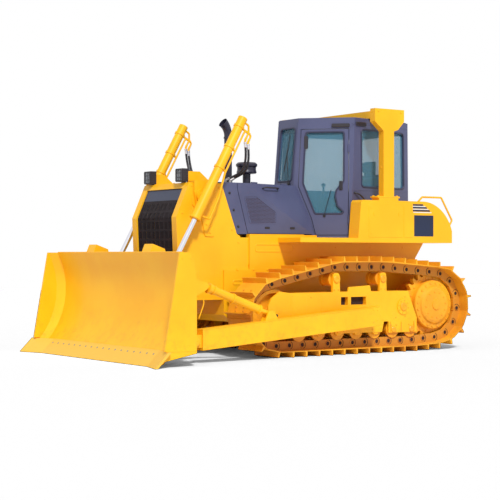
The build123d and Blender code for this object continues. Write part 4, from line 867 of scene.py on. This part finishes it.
def dressGrille():
    shift = 1.0 - guard["setback"]
    foot, head = guard["meshHeights"]
    across, up = guard["meshStep"]
    wires = [tube([(frontLine(z) + shift, y, z) for z in (foot, guard["bend"][1], head)], guard["wire"], 4)
             for y in np.arange(-420, 421, across)]
    wires += [tube([(frontLine(z) + shift, y, z) for y in (-424, 0, 424)], guard["wire"], 4)
              for z in np.arange(foot + 6, head - 2, up)]
    addPiece("grilleMesh", wires, "grillePaint", smooth=False)
    foot, head = ((frontLine(z) - guard["setback"], 0, z) for z in guard["bandHeights"])
    slope = Face(foot, (0, 1, 0), np.subtract(head, foot))
    band = slope.plate(rectangle(-426, 426, 0, math.dist(foot, head)), 4, 2)
    addPiece("grilleBand", [band], "bandPaint")


def dressLamps():
    lens = Face(guard["lamp"], (0, 1, 0), (0, 0, 1))
    rim = [(0, -1), (0, 9), (-3, 12), (-12, 12), (-14, 8), (-14, -1)]
    shapes = [lens.band(rounded(-76, 76, 3, 162, 16), rim)]
    shapes += [lens.bar([(y, 14), (y, 151)], 7.0, 3.5) for y in (-40, 0, 40)]
    shapes += [lens.bar([(-64, z), (64, z)], 7.0, 3.5) for z in (55, 110)]
    middle = guard["lamp"][1]
    shapes += [box((3572, middle + side * 80 - 3, z), (3640, middle + side * 80 + 3, z + 8), 2)
               for side in (-1, 1) for z in (2215, 2245, 2275, 2305, 2330)]
    addBoth("headlampRims", shapes, "blackPlastic")
    addBoth("headlampLenses", [lens.pad(-62, 62, 17, 148, 12, 4, 2)], "lensGlass")


def dressGuard():
    dressGrille()
    dressLamps()
    side = SidePlane(guard["side"])
    plates = [
        side.plate(softened(guard["bracket"], 30), 12, 3),
        SidePlane(guard["side"] + 12).bolts(guard["bracketBolts"], 14),
        side.bolts(guard["sideBolts"], 12),
        level(guard["top"][1]).bolts(guard["topBolts"], 11),
        side.plate(softened(guard["lowPlate"], 20), 5, 3),
    ]
    addBoth("guardTrim", plates, "yellowPaint")
    side = SidePlane(hull["side"])
    shapes = [side.band(rounded(*slot), hull["rim"]) for slot in hull["slots"]]
    shapes += [
        side.bolts(hull["bolts"], 12),
        side.pad(2500, 2990, 520, 780, 24, 6, 3),
        SidePlane(515).plate(rectangle(2680, 2900, 1150, 1500), 22, 4),
    ]
    addBoth("hullTrim", shapes, "yellowPaint")
    print("stage: guard dressed")


boxes = {
    "side": 1040,
    "door": [(545, 1512), (1128, 1512), (1128, 1930), (1090, 1965), (545, 1965)],
    "latches": (1030, 600),
    "doorBolts": [(1090, 1560), (1090, 1900), (380, 1600), (380, 1900)],
    "stripes": ((165, 425, 1962), (100, 400, 1925), (45, 370, 1885)),  # from, to, upper edge
    "whiteStripes": ((130, 412, 1937), (75, 388, 1900), (20, 352, 1857)),
    "deck": 1500,
    "treadStep": 60.0,
    "flangeTop": 2056,
    "flangeBolts": [(622, 915), (622, 1015), (945, 915), (945, 1015)],
    "rear": -357,
    "rearBolts": [(-900, -30), (-600, -30), (0, -30), (600, -30), (900, -30)],
    "lamp": (-357, 880, 1530),
    "tankCap": (-120, 480, 1885),
}


def slanted(low, high, top, thick, lean):
    # a stripe with both ends leaning the same way
    return [(low, top - thick), (high - lean, top - thick), (high, top), (low + lean, top)]


def dressBoxes():
    side = SidePlane(boxes["side"])
    doors = [side.plate(softened(boxes["door"], 16), 4, 2), side.pad(360, 520, 1512, 1965, 14, 4, 2)]
    addBoth("boxDoors", doors, "yellowPaint")
    raised = SidePlane(boxes["side"] + 4)
    latches = [raised.pad(x - 18, x + 18, 1795, 1845, 6, 5, 2) for x in boxes["latches"]]
    addBoth("boxLatches", [*latches, raised.bolts(boxes["doorBolts"], 8)], "yellowPaint")
    stripes = [side.plate(slanted(*stripe, 22, 12), 1.6, 0.4) for stripe in boxes["stripes"]]
    addBoth("sideStripes", [*stripes, side.plate(rectangle(-12, 335, 1528, 1812), 1.6, 0.4)], "bandPaint")
    stripes = [side.plate(slanted(*stripe, 12, 6), 1.4, 0.3) for stripe in boxes["whiteStripes"]]
    addBoth("whiteStripes", stripes, "whitePaint")
    deck = level(boxes["deck"])
    treads, step = [], boxes["treadStep"]
    for x in np.arange(1350, 2200, step):
        for y in np.arange(620, 1010, step):
            lean = 14 if (int(x / step) + int(y / step)) % 2 else -14
            corners = ((-16, -lean - 3), (16, lean - 3), (16, lean + 3), (-16, 3 - lean))
            treads.append(deck.plate(np.add((x, y), corners), 3, 1))
    addBoth("deckTreads", treads, "yellowPaint")
    shapes = [
        level(boxes["flangeTop"]).bolts(boxes["flangeBolts"], 17),
        Face((872, 990, 2000), (0, 1, 0), (0, 0, 1)).bolts([(0, 440), (0, 900)], 11),
        side.bolts([(570, 3180), (960, 3180)], 12),
        box((590, 885, 2033), (975, 1044, boxes["flangeTop"]), 6),
    ]
    addBoth("ropsTrim", shapes, "yellowPaint")
    back = Face((boxes["rear"], 0, 1500), (0, -1, 0), (0, 0, 1))
    cap = [(0, 62), (12, 66), (40, 66), (52, 54), (52, 20), (60, 16), (60, tip)]
    drawbarBolts = [(y, z) for y in (-480, -380, 380, 480) for z in (40, 180, 320)]
    addPiece("tankTrim", [
        *(back.pad(y - 90, y + 90, -40, 60, 12, 4, 2) for y in (-300, 300)),
        back.bolts(boxes["rearBolts"], 12),
        Face((-330, 0, 600), (0, -1, 0), (0, 0, 1)).bolts(drawbarBolts, 18),
        turned(cap, boxes["tankCap"], (-0.5, 0, 0.86), 28),
    ], "yellowPaint")
    rim = turned([(-2, 44), (16, 44), (20, 40), (20, 36)], boxes["lamp"], (-1, 0, 0), 28)
    glass = turned([(10, 36), (20, 34), (26, 22), (28, tip)], boxes["lamp"], (-1, 0, 0), 28)
    addBoth("rearLampRims", [rim], "blackPlastic")
    addBoth("rearLamps", [glass], "redGlass")
    print("stage: boxes dressed")


dressGuard()
dressBoxes()

lift = {
    "gimbal": np.array((3452.0, 700.0, 2020.0)),
    "eye": np.array((4080.0, 700.0, 900.0)),
    "rings": (-1015, -712, -412),  # from the gimbal down along the barrel
    "gland": 306,
    "head": -1128,
    "pipeEnds": ((-930, 165), (-930, 215)),  # along the barrel and behind it
    "hang": (-0.1, 0.0, -1.0),  # how the hoses leave their ferrules
    "leave": (-0.75, 0.3, 0.5),  # and their elbows on the hood
    "hose": 15.0,  # radius
    "bulkheads": [(2985.0, 430.0, 2200.0), (2935.0, 460.0, 2200.0)],
    "reach": (380, 340),
}


def hangHose(name, path):
    # one hose mesh in the frame, on no body, with its transform baked in
    hose = addPiece(name, [tube(path, lift["hose"], 12)], "blackRubber", None)
    points = spot(path)
    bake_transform(hose)


def dressLift():
    down = unit(lift["eye"] - lift["gimbal"])
    back = np.array((down[2], 0.0, -down[0]))

    def beside(along, out):
        return lift["gimbal"] + down * along + back * out

    ring = [(0, 57), (2, 69), (30, 69), (32, 57), (0, 57)]
    gland = [(0, 57), (0, 72), (32, 72), (35, 68), (35, 57), (0, 57)]
    head = [(-9, tip), (-9, 30), (-6, 48), (0, 58)]
    profiles = [*((ring, place) for place in lift["rings"]), (gland, lift["gland"]), (head, lift["head"])]
    shapes = [turned(profile, beside(place, 0), down, 32) for profile, place in profiles]
    addPair("barrelTrim", shapes, "yellowPaint", "lift_barrel")
    hang, leave = unit(lift["hang"]), unit(lift["leave"])
    starts = [beside(*end) for end in lift["pipeEnds"]]
    bends = [curve([start - down * 8, start + down * 18, start + down * 34 + hang * 22], 5)
             for start in starts]
    starts = [start + down * 34 + hang * 24 for start in starts]
    sleeve = [(-6, 15), (-6, 21), (10, 21), (14, 18), (60, 18), (64, 14)]
    addPair("hoseBends", [tube(bend, 15.0, 12) for bend in bends], "yellowPaint", "lift_barrel")
    addPair("hoseFerrules", [turned(sleeve, start, hang, 12) for start in starts], "rodChrome", "lift_barrel")
    elbows, paths = [], []
    t = np.linspace(0, 1, 34)[:, None]
    for start, place, reach in zip(starts, lift["bulkheads"], lift["reach"]):
        place = np.array(place)
        end = place + (0, 0, 24) + leave * 30
        first = start + hang * 40
        # a cubic: (1-t)^3 first + 3t(1-t)^2 handle + 3t^2(1-t) handle + t^3 end; handles along the fittings
        paths.append((1 - t) ** 3 * first + 3 * t * (1 - t) ** 2 * (first + hang * reach)
                     + 3 * t**2 * (1 - t) * (end + leave * 150) + t**3 * end)
        elbow = curve([place - (0, 0, 4), place + (0, 0, 22), end - leave * 6, end + leave * 30], 6)
        nut = turned([(-1, 30), (8, 30), (12, 26), (12, 20)], place, (0, 0, 1), 6)
        elbows += [tube(elbow, 18.5, 12), nut]
    for side, word in ((1, "left"), (-1, "right")):
        for number, path in enumerate(paths):
            hangHose(f"liftHose{number}_{word}", path * (1, side, 1))
    addBoth("hoseElbows", elbows, "plainSteel")
    print("stage: lift cylinders dressed")


blade = {
    "edge": (4513.6, 0, 176),
    "edgeBolts": (-1275, 1276, 150.0),
    "lip": (4334, 1560, 1311),  # X, half width, height
    "endFace": 1671,
    "earHalf": 97,  # from the lift cylinder's line to an ear's outer face
    "armFace": 1375,
    "armPin": (4053, 1394, 262),
    "armBolts": [(1260, 570), (1260, 440), (1330, 575), (1330, 420)],
    "armEdges": [[(1225, 610), (3930, 398)], [(1225, 372), (3930, 160)]],
    "hoseGuard": [(3884, 1300, 745), (3900, 1330, 700), (3945, 1340, 600), (3968, 1330, 530)],
    "tiltEnds": ((2925, 1300, 560.0), (3890, 1300, 915.0)),
    "tiltRings": (152, 560, 860),
}


def dressBlade():
    edge = Face(blade["edge"], (0, 1, 0), (-1, 0, 1))
    plow = [(-0.5, 13), (1.5, 13), (2.5, 10), (2.5, 7), (1.0, 5)]
    discs = [edge.knob(plow, (y, -60), 16) for y in np.arange(*blade["edgeBolts"])]
    addPiece("edgeBolts", discs, "plainSteel", "blade_frame")
    x, half, z = blade["lip"]
    end, arm = SidePlane(blade["endFace"]), SidePlane(blade["armFace"])
    shapes = [
        tube([(x, y, z) for y in np.linspace(0, half, 8)], 9.0, 10),
        end.plate(softened([(4225, 175), (4630, 175), (4634, 205), (4225, 235)], 10), 4, 2),
        end.bolts([(4290, 1240), (4410, 1240)], 9),
    ]
    ear = lift["eye"]
    for outward in (-1, 1):
        place = (ear[0], ear[1] + outward * blade["earHalf"], ear[2])
        shapes.append(turned([(-1, 50), (10, 50), (14, 44), (14, tip)], place, (0, outward, 0), 28))
    cap = [(-1, 54), (9, 54), (13, 48), (13, 18), (9, 14), (9, tip)]
    shapes += [
        turned(cap, blade["armPin"], (0, 1, 0), 28),
        arm.bolts(blade["armBolts"], 10),
        *(arm.bar(path, 0.0, 5.0) for path in blade["armEdges"]),
        tube(curve(blade["hoseGuard"], 8), 7.0, 8),
    ]
    addBoth("bladeTrim", shapes, "yellowPaint", "blade_frame")
    rear, front = (np.array(place) for place in blade["tiltEnds"])
    along = unit(front - rear)
    ring = [(0, 50), (2, 60), (26, 60), (28, 50)]
    rings = [turned(ring, rear + along * place, along, 28) for place in blade["tiltRings"]]
    rings.append(turned([(0, 56), (0, 64), (18, 64), (22, 40), (22, 30)], rear + along * 934, along, 28))
    addPiece("tiltTrim", rings, "yellowPaint", "blade_frame")
    print("stage: blade dressed")


dressLift()
dressBlade()

seat = {
    "voxel": 0.008,
    "pressure": 4.0,
    "cap": 0.022,  # metres that a point may move
    "frames": 20,
    "fill": 0.8,
    "cushion": ((300, -225, 1892), (775, 225, 1990), 34),  # low corner, high corner, rounding
    "back": ((262, -215, 2030), (352, 215, 2385), 30),
    "headrest": ((250, -112, 2440), (312, 112, 2580), 24),
    "armrest": [(300, 262, 2030), (320, 266, 2120), (420, 268, 2150), (640, 268, 2152)],
}


def readPoints(mesh):
    places = np.empty(len(mesh.vertices) * 3)
    mesh.vertices.foreach_get("co", places)
    return places.reshape(-1, 3)


def padCushion(name, low, high, radius):
    # a rounded block that cloth pressure swells; its points may move no further than the cap
    piece = addPiece(name, [box(low, high, radius)], "seatCloth")
    for other in bpy.context.selected_objects:
        other.select_set(False)
    bpy.context.view_layer.objects.active = piece
    piece.select_set(True)
    remesh = piece.modifiers.new("remesh", "REMESH")
    remesh.mode = "VOXEL"
    remesh.voxel_size = seat["voxel"]
    bpy.ops.object.modifier_apply(modifier="remesh")
    before = readPoints(piece.data)
    cloth = piece.modifiers.new("cloth", "CLOTH")
    cloth.settings.use_pressure = True
    cloth.settings.uniform_pressure_force = seat["pressure"]
    cloth.settings.effector_weights.gravity = 0.0
    for number in range(1, seat["frames"] + 1):
        scene.frame_set(number)
    bpy.ops.object.modifier_apply(modifier="cloth")
    scene.frame_set(1)
    move = readPoints(piece.data) - before
    far = np.linalg.norm(move, axis=1, keepdims=True)
    move *= np.minimum(1.0, seat["cap"] / np.maximum(far, 1e-9))
    piece.data.vertices.foreach_set("co", (before + move).ravel())
    smoothing = piece.modifiers.new("fine", "SUBSURF")
    smoothing.levels = 1
    bpy.ops.object.modifier_apply(modifier="fine")
    piece.data.shade_smooth()
    return piece


def dressSeat():
    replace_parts(padCushion("seatCushionPad", *seat["cushion"]), "seat_cushion")
    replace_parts(padCushion("seatBackPad", *seat["back"]), "seat_back")
    padCushion("headrestPad", *seat["headrest"])
    shell = [box((236, -205, 1985), (268, 205, 2400), 14), box((228, -120, 2395), (256, 120, 2590), 10)]
    shell += [tube([(268, y, 2370), (268, y, 2470)], 8.0, 10) for y in (-50, 50)]
    for side in (-1, 1):
        shell.append(tube(curve([(x, side * y, z) for x, y, z in seat["armrest"]], 6), 24.0, 12))
    shell.append(box((1505, -120, 2190), (1530, 120, 2330), 8))
    addPiece("seatShell", shell, "blackPlastic")
    print("stage: seat dressed")


dressSeat()

stageLook = {
    "world": 0.42,  # the world's light on the object
    "sun": 2.9,
    "light": (-0.3, -0.72, -0.8),  # the way the sun shines
    "sunAngle": 0.12,
    "floor": 30.0,  # metres, half the floor's side
    "floorDrop": 0.002,
}


def makeFloor():
    side, low = stageLook["floor"], -stageLook["floorDrop"]
    corners = [(*corner, low) for corner in rectangle(-side, side, -side, side)]
    mesh = bpy.data.meshes.new("floor")
    mesh.from_pydata(corners, [], [(0, 1, 2, 3)])
    floor = bpy.data.objects.new("floor", mesh)
    scene.collection.objects.link(floor)
    floor.is_shadow_catcher = True
    white = {"Base Color": (0.9, 0.9, 0.9), "Roughness": 0.9}
    mesh.materials.append(surface("floorWhite").finish("BsdfPrincipled", white))


def makeWorld():
    # white to the camera, reflections and panes; the light on the object is dimmer
    scene.world = bpy.data.worlds.new("world")
    s = Shader(scene.world, "World")
    white = s.add("LightPath", out="Is Camera Ray") + s.add("LightPath", out="Is Glossy Ray")
    white = white + s.add("LightPath", out="Is Transmission Ray")
    share = s.add("MapRange", {"Value": white, "To Min": stageLook["world"], "To Max": 1.0})
    s.finish("Background", {"Color": (1, 1, 1), "Strength": share})


def makeSun():
    light = bpy.data.lights.new("keySun", "SUN")
    light.energy = stageLook["sun"]
    light.angle = stageLook["sunAngle"]
    lamp = bpy.data.objects.new("keySun", light)
    lamp.rotation_euler = Vector(stageLook["light"]).to_track_quat("-Z", "Y").to_euler()
    scene.collection.objects.link(lamp)


makeFloor()
makeWorld()
makeSun()
scene.view_settings.view_transform = "Standard"
print("stage: light set")
